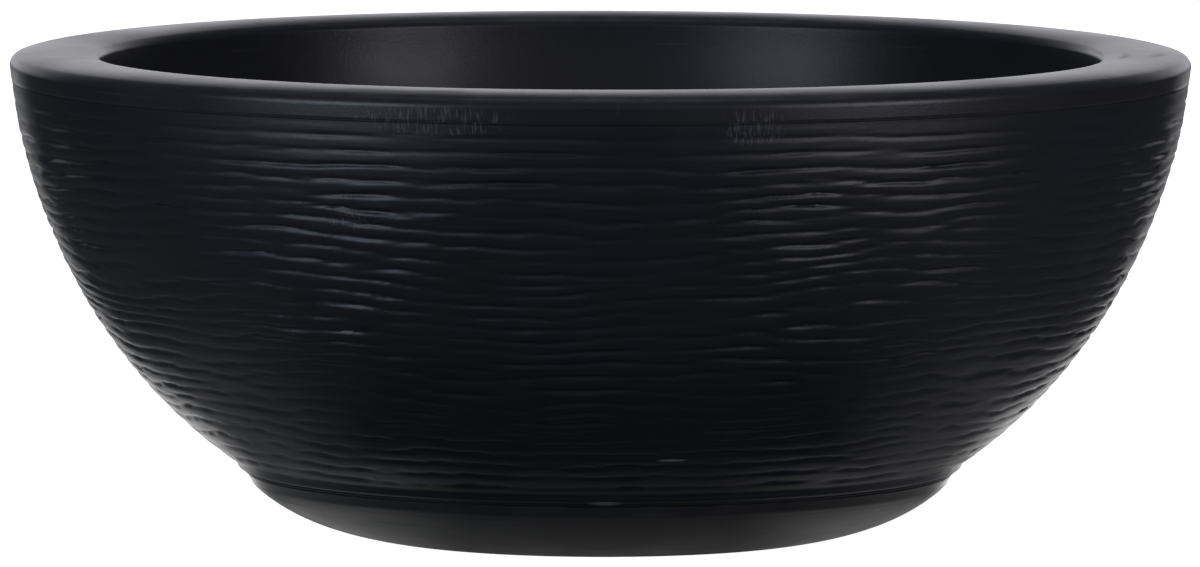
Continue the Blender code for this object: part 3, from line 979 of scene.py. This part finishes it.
@dataclass
class OuterShell:
    """The ridged outer wall with its lip, and the floor plate inside it."""

    form: BowlForm
    columns: int = 308
    wall_rows: int = 292
    lip_radius: float = 136.2 * MM
    lip_depth: float = 4.3 * MM
    tuck: float = 4.7 * MM
    flange_radius: float = 124.0 * MM
    seam_gap: float = 0.08 * MM
    lip_edge: float = 0.5 * MM
    ribs: int = 8
    boss_height: float = 10.5 * MM
    ridges: RidgeField = field(default_factory=RidgeField)

    def wall_outline(self) -> tuple[np.ndarray, slice]:
        """The wall's closed outline, and which of its rows carry ridges.

        Returns:
            The outline's radii and heights, and the slice of ridged rows.
        """
        f = self.form
        seam = f.band_bottom - self.seam_gap
        edge = float(f.outer(np.array(seam))) - f.wall - f.gap
        top = [(edge - 2.0 * MM, seam + self.tuck), (edge - 0.3 * MM, seam + self.tuck)]
        top += [(edge, seam + self.tuck - 0.3 * MM), (edge, seam)]
        heights = np.linspace(seam, f.lip_height + self.lip_depth, self.wall_rows - 8)
        wall = [tuple(p) for p in np.stack([f.outer(heights), heights], axis=-1)]
        lip = bow(wall[-1], (self.lip_radius + 0.7 * MM, f.lip_height + 1.6 * MM),
                  (self.lip_radius, f.lip_height + self.lip_edge), 8)[1:]
        under = arc((self.lip_radius - self.lip_edge, f.lip_height + self.lip_edge), self.lip_edge, -20, -90, 4)
        under += [(self.flange_radius, f.lip_height), (self.flange_radius, f.lip_height + f.wall)]
        rise = np.linspace(f.lip_height + f.wall + 1.5 * MM, seam - 4.0 * MM, 10)
        inside = f.offset(f.outer, -f.wall, rise)
        corner = (inside[0, 0] - 2.2 * MM, f.lip_height + f.wall)
        outline = top + wall + lip + under + [corner] + [tuple(p) for p in inside]
        return np.array(outline), slice(len(top), len(top) + len(wall) + len(lip))

    def wall(self) -> bpy.types.Object:
        """The ridged wall: each ridged row's point moves square off the wall by the ridge height.

        Returns:
            The wall.
        """
        outline, ridged = self.wall_outline()
        azimuth = around(self.columns)[None, :]
        radius = np.repeat(outline[:, :1], self.columns, axis=1)
        height = np.repeat(outline[:, 1:], self.columns, axis=1)
        rows = outline[ridged]
        along = np.gradient(rows, axis=0)
        along /= np.linalg.norm(along, axis=1)[:, None]
        depth = (self.form.height - rows[:, 1])[:, None]
        relief = self.ridges.height(azimuth, depth)
        radius[ridged] += relief * -along[:, 1:]
        height[ridged] += relief * along[:, :1]
        points = turned_points(radius, height, self.columns)
        quads = grid_faces(len(outline), self.columns, True)[:, ::-1]
        return make_object("ridged_wall", points, quads, sharp=60.0)

    def floor(self) -> bpy.types.Object:
        """The floor plate, with ribs for the soil bowl and bosses for the foot screws.

        Returns:
            The plate.
        """
        f = self.form
        low, high = f.lip_height, f.lip_height + f.wall
        flange_over_hole = 5.5 * MM
        hole = -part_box("drain_spigot")[0].x - flange_over_hole
        rim = self.flange_radius - 0.05 * MM
        outline = run((rim, high), (rim, low), 1) + run((hole, low), (hole, high), 1)
        plate = turned_ring("shell_floor", outline, 128)
        for index, angle in enumerate(TURN * (np.arange(self.ribs) + 0.5) / self.ribs):
            combine(plate, self.rib(f"rib_{index}", angle, high - f.wall / 2), "UNION")
        for x, y in screw_places():
            top = high + self.boss_height
            combine(plate, post("boss", BOSS_RADIUS, high - f.wall / 2, top, x, y), "UNION")
            combine(plate, post("pilot", SCREW_HOLE_RADIUS, low - f.wall, top + f.wall, x, y), "DIFFERENCE")
        return plate

    def rib(self, name: str, angle: float, bottom: float) -> bpy.types.Object:
        """One radial rib: a block with a slightly thinner top, from near the spigot outwards.

        Args:
            name: The rib's name.
            angle: Its direction in radians.
            bottom: Its lowest height.

        Returns:
            The rib.
        """
        top = self.form.soil_floor - self.form.wall - self.form.gap
        u = np.array([math.cos(angle), math.sin(angle), 0.0])
        v = np.array([-math.sin(angle), math.cos(angle), 0.0])
        ring = [(32.0, 1.0, bottom), (104.0, 1.0, bottom), (104.0, -1.0, bottom), (32.0, -1.0, bottom)]
        ring += [(34.0, 1.0, top), (102.0, 1.0, top), (102.0, -1.0, top), (34.0, -1.0, top)]
        half = {bottom: 1.5 * MM, top: 1.1 * MM}
        points = [u * r * MM + v * s * half[z] + np.array([0, 0, z]) for r, s, z in ring]
        quads = np.array([[3, 2, 1, 0], [4, 5, 6, 7], [0, 1, 5, 4], [1, 2, 6, 5], [2, 3, 7, 6], [3, 0, 4, 7]])
        return make_object(name, np.array(points), quads)

    def build(self, dresser: Dresser) -> None:
        """Builds and dresses the shell's pieces."""
        dresser.dress(self.wall(), Plastic.RIDGED, Body.PLANTER, "outer_shell")
        dresser.dress(self.floor(), Plastic.DRAIN, Body.PLANTER, "outer_shell")


def screw_places() -> list[Point]:
    """Centres of the foot screws, from the frame's screw boxes.

    Returns:
        The four centres, as x and y.
    """
    places = []
    for number in range(1, 5):
        low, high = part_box(f"foot_screw_{number}")
        places.append(((low.x + high.x) / 2, (low.y + high.y) / 2))
    return places


@dataclass
class SoilBowl:
    """The smooth soil bowl with the flat rim and the turned-down band."""

    form: BowlForm
    columns: int = 320
    band_swell: float = 0.15 * MM
    crest_radius: float = 206.0 * MM
    fall: float = 1.5 * MM
    shoulder_lean: float = 18.0
    well_radius: float = 27.0 * MM
    well_depth: float = 5.0 * MM
    hole_radius: float = 15.8 * MM
    floor_fillet: float = 10.0 * MM

    def outline(self) -> list[Point]:
        """Closed outline, from the rim's flat top down the band, under the bowl and up its soil side.

        Returns:
            Radii and heights in order.
        """
        f = self.form
        top = f.height - self.fall - f.rim_outer_fillet
        outer_top = float(f.outer(np.array(top)))
        corner = (outer_top - f.rim_outer_fillet, top)
        shoulder = arc(corner, f.rim_outer_fillet, 90 - self.shoulder_lean, 0, 11)
        lean = math.tan(math.radians(self.shoulder_lean))
        pull = (shoulder[0][0] - (f.height - shoulder[0][1]) / lean, f.height)
        points = bow((self.crest_radius, f.height), pull, shoulder[0], 14)[1:] + shoulder[1:]
        heights = np.linspace(top, f.band_bottom + 0.4 * MM, 10)[1:]
        points += [(float(f.outer(h)), float(h)) for h in heights]
        edge = float(f.outer(np.array(f.band_bottom)))
        points[-1] = (points[-1][0] - 0.05 * MM, f.band_bottom + 0.9 * MM)
        points += bow((edge - 0.02 * MM, f.band_bottom + 0.7 * MM), (edge - 0.1 * MM, f.band_bottom),
                      (edge - 0.8 * MM, f.band_bottom), 5)
        points += [(edge - f.wall, f.band_bottom)]
        points += [(outer_top - f.wall, top), (corner[0] - 0.5 * MM, f.height - f.wall - self.fall)]
        return points + self.hidden_side() + self.soil_side()

    def hidden_side(self) -> list[Point]:
        """The face towards the hollow wall, from under the rim to the spigot's hole.

        Returns:
            Radii and heights in order.
        """
        f = self.form
        points = [(f.rim_inner_radius + 1.5 * MM, f.height - f.wall)]
        heights = np.linspace(f.height - f.wall - f.rim_inner_fillet, f.soil_floor + self.floor_fillet, 26)
        points += [tuple(p) for p in f.offset(f.soil, f.wall, heights)]
        points += self.floor_corner(f.wall)[1:]
        well = self.well_radius + f.wall
        under = f.soil_floor - self.well_depth - f.wall
        points += [(well, f.soil_floor - f.wall), (well, under), (self.hole_radius, under)]
        return points

    def floor_corner(self, distance: float) -> list[Point]:
        """The bend from wall to floor, moved off the soil side by a distance.

        Args:
            distance: How far the bend lies outside the soil side.

        Returns:
            Radii and heights in order.
        """
        f = self.form
        low = np.array([f.soil_floor + self.floor_fillet])
        start = f.offset(f.soil, distance, low)[0]
        slope = float((f.soil(low + SLOPE_STEP) - f.soil(low - SLOPE_STEP))[0] / (2 * SLOPE_STEP))
        middle = (start[0] - (start[1] - f.soil_floor + distance) * slope, f.soil_floor - distance)
        return bow(tuple(start), middle, (middle[0] - self.floor_fillet, middle[1]), 12)

    def soil_side(self) -> list[Point]:
        """The face that holds the soil, from the spigot's hole up to the rim's flat top.

        Returns:
            Radii and heights in order.
        """
        f = self.form
        seat = f.soil_floor - self.well_depth
        points = [(self.hole_radius, seat)]
        points += [(self.well_radius - 1.0 * MM, seat)]
        points += arc((self.well_radius - 1.0 * MM, seat + 1.0 * MM), 1.0 * MM, -90, 0, 4)[1:]
        points += arc((self.well_radius + 1.0 * MM, f.soil_floor - 1.0 * MM), 1.0 * MM, 180, 90, 4)
        points += run((self.well_radius + 2.0 * MM, f.soil_floor), (100.0 * MM, f.soil_floor), 10)
        points += self.floor_corner(0.0)[::-1][1:]
        top = f.height - self.fall - f.rim_inner_fillet
        heights = np.linspace(f.soil_floor + self.floor_fillet, top, 44)[1:-1]
        points += [(float(f.soil(h)), float(h)) for h in heights]
        centre = (float(f.soil(np.array(top))) + f.rim_inner_fillet, top)
        shoulder = arc(centre, f.rim_inner_fillet, 180, 90 + self.shoulder_lean, 11)
        lean = math.tan(math.radians(self.shoulder_lean))
        pull = (shoulder[-1][0] + (f.height - shoulder[-1][1]) / lean, f.height)
        return points + shoulder + bow(shoulder[-1], pull, (self.crest_radius, f.height), 12)[1:]

    def build(self, dresser: Dresser) -> None:
        """Builds the bowl with a very slight unevenness in its rim and walls, as a big moulding has.

        Args:
            dresser: Gives the piece its finish.
        """
        shape = tidy_outline(self.outline())
        azimuth = around(self.columns)[None, :]
        height = np.repeat(shape[:, 1:], self.columns, axis=1)
        radius = np.repeat(shape[:, :1], self.columns, axis=1)
        free = np.clip((shape[:, 1:] - self.form.soil_floor) / (self.form.height - self.form.soil_floor), 0, 1)
        rng = np.random.default_rng(3)
        for waves in (2, 3, 5, 9):
            swing = np.cos(waves * azimuth + rng.uniform(0, TURN)) / waves
            radius += -self.band_swell * free**2 * np.abs(swing)
            height += -self.band_swell * free**3 * (0.5 + 0.5 * swing)
        points = turned_points(radius, height, self.columns)
        quads = grid_faces(len(shape), self.columns, True)[:, ::-1]
        piece = make_object("soil_bowl_and_rim", points, quads, sharp=50.0)
        dresser.dress(piece, Plastic.SMOOTH, Body.PLANTER, "inner_bowl")


@dataclass
class Foot:
    """The smooth foot under the shell, and the four screws that hold it."""

    form: BowlForm
    columns: int = 288
    radius: float = 134.9 * MM
    corner_height: float = 21.8 * MM
    contact_radius: float = 89.4 * MM
    contact_width: float = 6.0 * MM
    recess: float = 6.0 * MM
    hole: float = 17.0 * MM
    under_pull: Point = (117.2 * MM, 4.6 * MM)

    def outline(self) -> list[Point]:
        """Closed outline, down the band, round the corner, along the underside and back inside.

        Returns:
            Radii and heights in order.
        """
        f = self.form
        top = f.lip_height - f.gap
        corner = (self.radius - 1.6 * MM, self.corner_height - 2.0 * MM)
        band = [(self.radius - f.wall, top), (self.radius - 0.5 * MM, top), (self.radius, top - 0.5 * MM)]
        band += bow((corner[0] + 0.4 * MM, corner[1] + 1.6 * MM), (corner[0] + 0.1 * MM, corner[1] + 0.1 * MM),
                    (corner[0] - 1.4 * MM, corner[1] - 1.1 * MM), 8)
        under = bow(corner, self.under_pull, (self.contact_radius, 0.0), 44)[3:]
        inner = self.contact_radius - self.contact_width
        ring = [(inner + 0.6 * MM, 0.0), (inner, 0.6 * MM), (inner - 1.0 * MM, self.recess - 0.8 * MM)]
        ring += [(inner - 1.8 * MM, self.recess)]
        plate = run((inner - 3.0 * MM, self.recess), (self.hole, self.recess), 8)
        plate += [(self.hole, self.recess + f.wall)]
        start = (self.contact_radius + 7.5 * MM, self.recess + f.wall)
        lifted = (self.under_pull[0] - 1.2 * MM, self.under_pull[1] + f.wall)
        inside = bow(start, lifted, (self.radius - f.wall, self.corner_height), 20)
        return band + under + ring + plate + inside

    def base(self) -> bpy.types.Object:
        """The foot moulding with its screw bosses and holes.

        Returns:
            The foot.
        """
        f = self.form
        foot = turned_ring("smooth_foot", self.outline(), self.columns, sharp=38.0)
        top = f.lip_height - f.gap
        for x, y in screw_places():
            combine(foot, post("boss", BOSS_RADIUS, self.recess + f.wall / 2, top, x, y), "UNION")
            combine(foot, post("bore", SCREW_HOLE_RADIUS, -1.0 * MM, top + f.wall, x, y), "DIFFERENCE")
        return foot

    def screw(self, number: int) -> bpy.types.Object:
        """A pan-head screw with a cross recess and a coiled thread.

        The thread adds depth x (1 + cos(azimuth - 2 pi z / pitch)) / 2 to the shank's radius. The recess lifts
        the head's face where either |x| or |y| is small, fading out with radius.

        Args:
            number: Which screw, from 1 to 4.

        Returns:
            The finished screw.
        """
        low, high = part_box(f"foot_screw_{number}")
        x, y = (low.x + high.x) / 2, (low.y + high.y) / 2
        head = (high.x - low.x) / 2
        seat = low.z + 2.4 * MM
        core, crest, pitch = 1.45 * MM, 1.88 * MM, 1.4 * MM
        shank = run((crest, high.z - 3.0 * MM), (crest, seat + 2.0 * MM), 150)
        outline = [(0.0, high.z), (0.35 * MM, high.z - 0.1 * MM)] + run((0.7 * MM, high.z - 0.8 * MM), shank[0], 4)
        outline += shank[1:] + [(core, seat + 1.6 * MM), (core, seat), (head - 0.3 * MM, seat)]
        outline += bow((head, seat - 0.3 * MM), (head, low.z), (head * 0.62, low.z), 12)
        outline += run((head * 0.6, low.z), (0.15 * MM, low.z), 14) + [(0.0, low.z)]

        def shape(points: np.ndarray) -> np.ndarray:
            """Cuts the thread and the cross recess, then moves the screw to its place.

            Args:
                points: The grid of a plain turned screw, centred on Z.

            Returns:
                The shaped and placed grid.
            """
            px, py, pz = points[..., 0], points[..., 1], points[..., 2]
            radius = np.hypot(px, py)
            azimuth = np.arctan2(py, px)
            coil = (1 + np.cos(azimuth - TURN * pz / pitch)) / 2
            threaded = (pz > seat + 1.9 * MM) & (pz < high.z - 2.9 * MM)
            wanted = np.where(threaded, core + (crest - core) * coil**1.5, radius)
            scale = np.where(radius > 1e-9, wanted / np.maximum(radius, 1e-9), 1.0)
            arm = np.minimum(np.abs(px), np.abs(py))
            slot = np.clip((0.42 * MM - arm) / (0.16 * MM), 0, 1) * np.clip((2.1 * MM - radius) / (0.5 * MM), 0, 1)
            lift = np.where(pz < low.z + 0.4 * MM, slot * 1.25 * MM, 0.0)
            return np.stack([px * scale + x, py * scale + y, pz + lift], axis=-1)

        return turned_solid(f"pan_head_screw_{number}", outline, 48, shape, sharp=35.0)

    def build(self, dresser: Dresser) -> None:
        """Builds and dresses the foot and its screws.

        Args:
            dresser: Gives the pieces their finishes.
        """
        dresser.dress(self.base(), Plastic.FOOT, Body.PLANTER, "foot")
        for number in range(1, 5):
            dresser.dress(self.screw(number), Plastic.STEEL, Body.PLANTER, f"foot_screw_{number}")


@dataclass
class Drain:
    """The drain tube with its washer and lock nut, and the plug that lifts out of it."""

    form: BowlForm
    bore: float = 13.0 * MM
    tube_radius: float = 15.5 * MM
    thread_depth: float = 0.45 * MM
    thread_pitch: float = 2.0 * MM
    plug_radius: float = 12.2 * MM
    ring_bar: float = 1.3 * MM
    loop_radius: float = 8.0 * MM
    loop_bar: float = 2.0 * MM
    flange_thickness: float = 2.5 * MM
    thread_end: float = 24.0 * MM

    def spigot(self) -> bpy.types.Object:
        """Flanged tube whose outside carries a coiled thread below the flange.

        The thread takes depth x (1 - cos(azimuth - 2 pi z / pitch)) / 2 off the tube's radius.

        Returns:
            The tube.
        """
        low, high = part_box("drain_spigot")
        flange = high.x
        under = high.z - self.flange_thickness
        tube = self.tube_radius
        r = 0.6 * MM
        outline = arc((flange - r, high.z - r), r, 90, 0, 5) + [(flange, under + 0.2 * MM), (flange - 0.2 * MM, under)]
        outline += [(tube, under)] + run((tube, under - 3.2 * MM), (tube, self.thread_end), 90)
        outline += run((tube, self.thread_end - 1.0 * MM), (tube, low.z + 0.5 * MM), 6)
        outline += [(tube - 0.5 * MM, low.z), (self.bore + 0.4 * MM, low.z), (self.bore, low.z + 0.4 * MM)]
        outline += run((self.bore, low.z + 1 * MM), (self.bore, high.z - 1 * MM), 8)
        outline += arc((self.bore + r, high.z - r), r, 180, 90, 5)
        shape = tidy_outline(outline)
        columns = 96
        azimuth = around(columns)[None, :]
        radius = np.repeat(shape[:, :1], columns, axis=1)
        z = shape[:, 1:]
        threaded = (z < under - 3.0 * MM) & (z > self.thread_end - 0.1 * MM)
        threaded &= np.abs(shape[:, :1] - tube) < 0.01 * MM
        cut = (1 - np.cos(azimuth - TURN * z / self.thread_pitch)) / 2
        radius = np.where(threaded, radius - self.thread_depth * cut, radius)
        points = turned_points(radius, np.repeat(z, columns, axis=1), columns)
        return make_object("drain_tube", points, grid_faces(len(shape), columns, True)[:, ::-1], sharp=50.0)

    def washer(self) -> bpy.types.Object:
        """Flat rubber washer with softly rounded edges.

        Returns:
            The washer.
        """
        low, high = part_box("spigot_gasket")
        inner, r = self.tube_radius + 0.3 * MM, 0.35 * MM
        outline = arc((high.x - r, high.z - r), r, 90, 0, 4) + arc((high.x - r, low.z + r), r, 0, -90, 4)
        outline += arc((inner + r, low.z + r), r, -90, -180, 4) + arc((inner + r, high.z - r), r, 180, 90, 4)
        return turned_ring("rubber_washer", outline, 96)

    def nut(self) -> bpy.types.Object:
        """Hexagonal lock nut: flat distance / cos(angle from the nearest flat), chamfered at both faces.

        Returns:
            The nut.
        """
        low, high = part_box("spigot_nut")
        corner = max(high.x, high.y)
        apothem = corner * math.cos(math.pi / 6)
        columns = 144
        inner = self.tube_radius + 0.3 * MM
        chamfer = 1.1 * MM
        rows = [(1, high.z), (1, high.z), (1, high.z - chamfer), (1, low.z + chamfer), (1, low.z), (0, low.z)]
        thread = np.linspace(low.z + 0.3 * MM, high.z - 0.3 * MM, 26)
        rows += [(0, z) for z in thread] + [(0, high.z)]
        azimuth = around(columns)
        turn = math.pi / 6 if high.x > high.y else 0.0
        off = (azimuth - turn + math.pi / 6) % (math.pi / 3) - math.pi / 6
        hexagon = apothem / np.cos(off)
        trimmed = np.minimum(hexagon, apothem + 0.35 * MM)
        hollow = np.full(columns, inner)
        radius = [trimmed - 1.5 * MM, trimmed, hexagon, hexagon, trimmed, hollow]
        coil = (1 - np.cos(azimuth[None, :] - TURN * thread[:, None] / self.thread_pitch)) / 2
        radius += list(inner + 0.3 * MM * coil) + [hollow]
        height = np.repeat(np.array([z for _, z in rows])[:, None], columns, axis=1)
        points = turned_points(np.array(radius), height, columns)
        return make_object("lock_nut", points, grid_faces(len(rows), columns, True)[:, ::-1], sharp=25.0)

    def plug(self) -> bpy.types.Object:
        """Plug with a flat flange, a ring groove, a rounded nose and a finger loop moulded on.

        Returns:
            The plug.
        """
        low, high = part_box("drain_plug")
        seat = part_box("drain_spigot")[1].z + 0.3 * MM
        top = seat + 3.0 * MM
        flange = max(high.x, 18.5 * MM)
        groove, half = seat - 11.5 * MM, self.ring_bar + 0.3 * MM
        floor = self.plug_radius - 2 * self.ring_bar + 0.2 * MM
        outline = [(0.0, top), (3.0 * MM, top)] + run((6.0 * MM, top), (flange - 1.4 * MM, top), 4)
        outline += arc((flange - 1.0 * MM, top - 1.0 * MM), 1.0 * MM, 90, 0, 6)
        outline += [(flange, seat + 0.3 * MM), (flange - 0.3 * MM, seat), (self.plug_radius + 0.4 * MM, seat)]
        outline += [(self.plug_radius, seat - 0.4 * MM), (self.plug_radius, groove + half + 0.2 * MM)]
        outline += [(self.plug_radius - 0.2 * MM, groove + half), (floor, groove + half), (floor, groove - half)]
        outline += [(self.plug_radius - 0.2 * MM, groove - half), (self.plug_radius, groove - half - 0.2 * MM)]
        outline += bow((self.plug_radius, low.z + 3.2 * MM), (self.plug_radius - 0.3 * MM, low.z + 0.2 * MM),
                       (self.plug_radius - 2.6 * MM, low.z), 8)
        outline += [(6.0 * MM, low.z), (0.0, low.z)]
        plug = turned_solid("lift_out_plug", outline, 96, sharp=38.0)
        middle = top + self.loop_radius - self.loop_bar / 2
        turn = np.radians(np.linspace(-62, 242, 65))
        across, up = self.loop_radius * np.cos(turn), middle + self.loop_radius * np.sin(turn)
        path = np.stack([across, np.zeros(len(turn)), up], axis=-1)
        swell = np.clip((middle - 3.0 * MM - path[:, 2]) / (5.0 * MM), 0, 1)
        bar = self.loop_bar * (1.0 + 0.35 * swell**2)
        combine(plug, tube("finger_loop", path, bar, np.array([0.0, 1.0, 0.0]), 28), "UNION")
        return plug

    def seal(self) -> bpy.types.Object:
        """O-ring: a circle of the bar's radius carried round the groove.

        Returns:
            The ring.
        """
        low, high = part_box("plug_o_ring")
        middle = (low.z + high.z) / 2
        circle = arc((high.x - self.ring_bar, middle), self.ring_bar, 90, -252, 19)
        return turned_ring("rubber_o_ring", circle, 128, sharp=80.0)

    def build(self, dresser: Dresser) -> None:
        """Builds and dresses the drain's pieces.

        Args:
            dresser: Gives the pieces their finishes.
        """
        dresser.dress(self.spigot(), Plastic.DRAIN, Body.PLANTER, "drain_spigot")
        dresser.dress(self.washer(), Plastic.RUBBER, Body.PLANTER, "spigot_gasket")
        dresser.dress(self.nut(), Plastic.DRAIN, Body.PLANTER, "spigot_nut")
        dresser.dress(self.plug(), Plastic.DRAIN, Body.PLUG, "drain_plug")
        dresser.dress(self.seal(), Plastic.RUBBER, Body.PLUG, "plug_o_ring")


# ------------------------------------------------------------------------------------------ studio
@dataclass(frozen=True)
class Softbox:
    """One rectangular soft light that faces a point; a light that isn't glossy leaves no highlight of its own."""

    name: str
    place: Place
    aim: Place
    size: Point
    power: float
    tint: Place = (1.0, 1.0, 1.0)
    glossy: bool = True

    def build(self) -> None:
        """Hangs the light, tipped and turned to face its aim, and unseen by the camera."""
        data = bpy.data.lights.new(self.name, "AREA")
        data.shape = "RECTANGLE"
        data.size, data.size_y = self.size
        data.energy = self.power
        data.color = self.tint
        made = bpy.data.objects.new(self.name, data)
        bpy.context.scene.collection.objects.link(made)
        made.location = self.place
        line = np.array(self.place) - np.array(self.aim)
        flat = math.hypot(line[0], line[1])
        made.rotation_euler = (math.atan2(flat, line[2]), 0.0, math.atan2(line[0], -line[1]))
        made.visible_glossy = self.glossy
        made.visible_camera = False


@dataclass
class Studio:
    """Pale floor, soft light and the camera.

    The floor is white where it is seen directly. The glossy plastic reflects a darker floor, with a ring of light at
    the foot, a patch beside it on each side and a strip behind each side.
    """

    form: BowlForm
    distance: float = 5.0
    camera_rise: float = 0.3663
    pitch_down: float = 0.0910
    roll: float = 0.0020
    lens: float = 394.5
    half_floor: float = 14.0
    floor_tone: Tone = (0.80, 0.80, 0.80, 1.0)
    glow: float = 1.0
    front_tone: float = 0.17
    back_tone: float = 0.10
    foot_glow: float = 0.14
    foot_side_gain: float = 3.2
    side_glow: float = 0.22
    back_glow: float = 3.1
    strip_inset: float = 0.175
    strip_splay: float = 0.36
    room_tone: Tone = (0.080, 0.085, 0.108, 1.0)
    sky_tone: Tone = (0.44, 0.44, 0.54, 1.0)
    backdrop_tone: Tone = (1.54, 1.53, 1.64, 1.0)
    lights: tuple[Softbox, ...] = (
        Softbox("top_softbox", (0.0, -0.2, 1.6), (0.0, -0.1, 0.0), (1.2, 0.9), 16.0, glossy=False),
        Softbox("left_softbox", (-0.85, -0.78, 0.23), (0.0, 0.0, 0.15), (0.56, 0.44), 5.6, (0.74, 0.85, 1.0)),
        Softbox("right_softbox", (0.88, -0.75, 0.23), (0.0, 0.0, 0.15), (0.54, 0.44), 4.9, (0.90, 0.87, 1.0)),
    )

    def floor(self) -> None:
        """A plain pale floor on the ground, lifted to nearly white where it is looked at directly."""
        half = self.half_floor
        points = np.array([[-half, -half, 0.0], [half, -half, 0.0], [half, half, 0.0], [-half, half, 0.0]])
        made = make_object("studio_floor", points, np.array([[0, 1, 2, 3]]))
        pale = bpy.data.materials.new("pale_floor")
        pale.use_nodes = True
        shader = pale.node_tree.nodes["Principled BSDF"]
        shader.inputs["Roughness"].default_value = 0.9
        shader.inputs["Specular IOR Level"].default_value = 0.0
        shader.inputs["Emission Color"].default_value = (1.0, 1.0, 1.0, 1.0)
        g = Graph(pale.node_tree)
        seen = g.add("ShaderNodeLightPath").outputs["Is Camera Ray"]
        place = g.add("ShaderNodeTexCoord").outputs["Object"]
        split = g.add("ShaderNodeSeparateXYZ")
        g.feed(split.inputs[0], place)
        across, forward, _ = split.outputs
        mirrored = g.spread(forward, -0.10, 0.35, self.front_tone, self.back_tone, smooth=True)
        g.feed(shader.inputs["Base Color"], g.blend(seen, mirrored, self.floor_tone))
        radius = g.add("ShaderNodeVectorMath", operation="LENGTH")
        g.feed(radius.inputs[0], place)
        light = self.mirrored_light(g, g.maths("ABSOLUTE", across), forward, radius.outputs["Value"])
        light = g.maths("MULTIPLY", g.maths("SUBTRACT", 1.0, seen), light)
        g.feed(shader.inputs["Emission Strength"], g.maths("ADD", g.maths("MULTIPLY", seen, self.glow), light))
        made.data.materials.append(pale)

    def mirrored_light(self, g: Graph, aside: bpy.types.NodeSocket, forward: bpy.types.NodeSocket,
                       radius: bpy.types.NodeSocket) -> bpy.types.NodeSocket:
        """Light that the plastic sees on the floor: the brightest of the ring, the patches and the strips.

        Args:
            g: The floor material's graph.
            aside: Distance from the middle line.
            forward: Distance behind the bowl's axis.
            radius: Distance from the bowl's axis.

        Returns:
            Emission strength over the floor.
        """
        ring = g.spread(radius, 0.124, 0.150, self.foot_glow, 0.0, smooth=True)
        ring = g.maths("MULTIPLY", ring, g.spread(aside, 0.05, 0.10, 1.0, self.foot_side_gain, smooth=True))
        patch = g.spread(forward, -0.16, -0.06, 0.0, self.side_glow, smooth=True)
        patch = g.maths("MULTIPLY", g.window(aside, (0.100, 0.135), (0.21, 0.27)), patch)
        splayed = g.maths("ADD", g.maths("MULTIPLY", forward, self.strip_splay), self.strip_inset)
        strip = g.window(g.maths("SUBTRACT", aside, splayed), (-0.14, -0.09), (-0.03, 0.03))
        strip = g.maths("MULTIPLY", g.spread(forward, -0.005, 0.10, 0.0, self.back_glow, smooth=True), strip)
        return g.maths("MAXIMUM", g.maths("MAXIMUM", ring, patch), strip)

    def surroundings(self) -> None:
        """Room light: a low pale backdrop behind, a soft sky in front and overhead, and a dim room elsewhere."""
        world = bpy.data.worlds.new("studio_room")
        world.use_nodes = True
        bpy.context.scene.world = world
        g = Graph(world.node_tree)
        back = world.node_tree.nodes["Background"]
        split = g.add("ShaderNodeSeparateXYZ")
        g.feed(split.inputs[0], g.add("ShaderNodeTexCoord").outputs["Generated"])
        _, forward, up = split.outputs
        behind = g.spread(forward, 0.72, 0.94, smooth=True)
        backdrop = g.maths("MULTIPLY", behind, g.spread(up, 0.13, 0.48, 1.0, 0.0, smooth=True))
        ahead = g.spread(forward, -0.55, -0.15, 1.0, 0.0, smooth=True)
        above = g.spread(up, 0.18, 0.60, 1.0, 0.25, smooth=True)
        above = g.maths("MULTIPLY", g.spread(up, -0.02, 0.06, smooth=True), above)
        overhead = g.spread(up, 0.80, 0.97, 0.0, 0.9, smooth=True)
        lit = g.maths("MAXIMUM", g.maths("MULTIPLY", ahead, above), overhead)
        room = g.blend(lit, self.room_tone, self.sky_tone)
        g.feed(back.inputs["Color"], g.blend(backdrop, room, self.backdrop_tone))
        back.inputs["Strength"].default_value = 1.0

    def camera(self) -> None:
        """A long-lens camera in front, a little above the rim."""
        data = bpy.data.cameras.new("camera")
        data.lens = self.lens
        data.sensor_width = 36.0
        data.clip_end = 60.0
        made = bpy.data.objects.new("camera", data)
        bpy.context.scene.collection.objects.link(made)
        made.location = (0.0, -self.distance, self.form.height + self.camera_rise)
        look = Matrix.Rotation(math.pi / 2 - self.pitch_down, 3, "X") @ Matrix.Rotation(self.roll, 3, "Z")
        made.rotation_euler = look.to_euler()
        bpy.context.scene.camera = made

    def build(self) -> None:
        """Sets the floor, the light and the camera."""
        bpy.context.scene.view_settings.view_transform = "Standard"
        self.floor()
        self.surroundings()
        for light in self.lights:
            light.build()
        self.camera()


def main() -> None:
    """Builds the planter's pieces in order, then the studio."""
    logging.basicConfig(level=logging.INFO, format="%(message)s")
    form = BowlForm.from_frame()
    dresser = Dresser()
    OuterShell(form).build(dresser)
    SoilBowl(form).build(dresser)
    Foot(form).build(dresser)
    Drain(form).build(dresser)
    Studio(form).build()


if __name__ == "__main__":
    main()
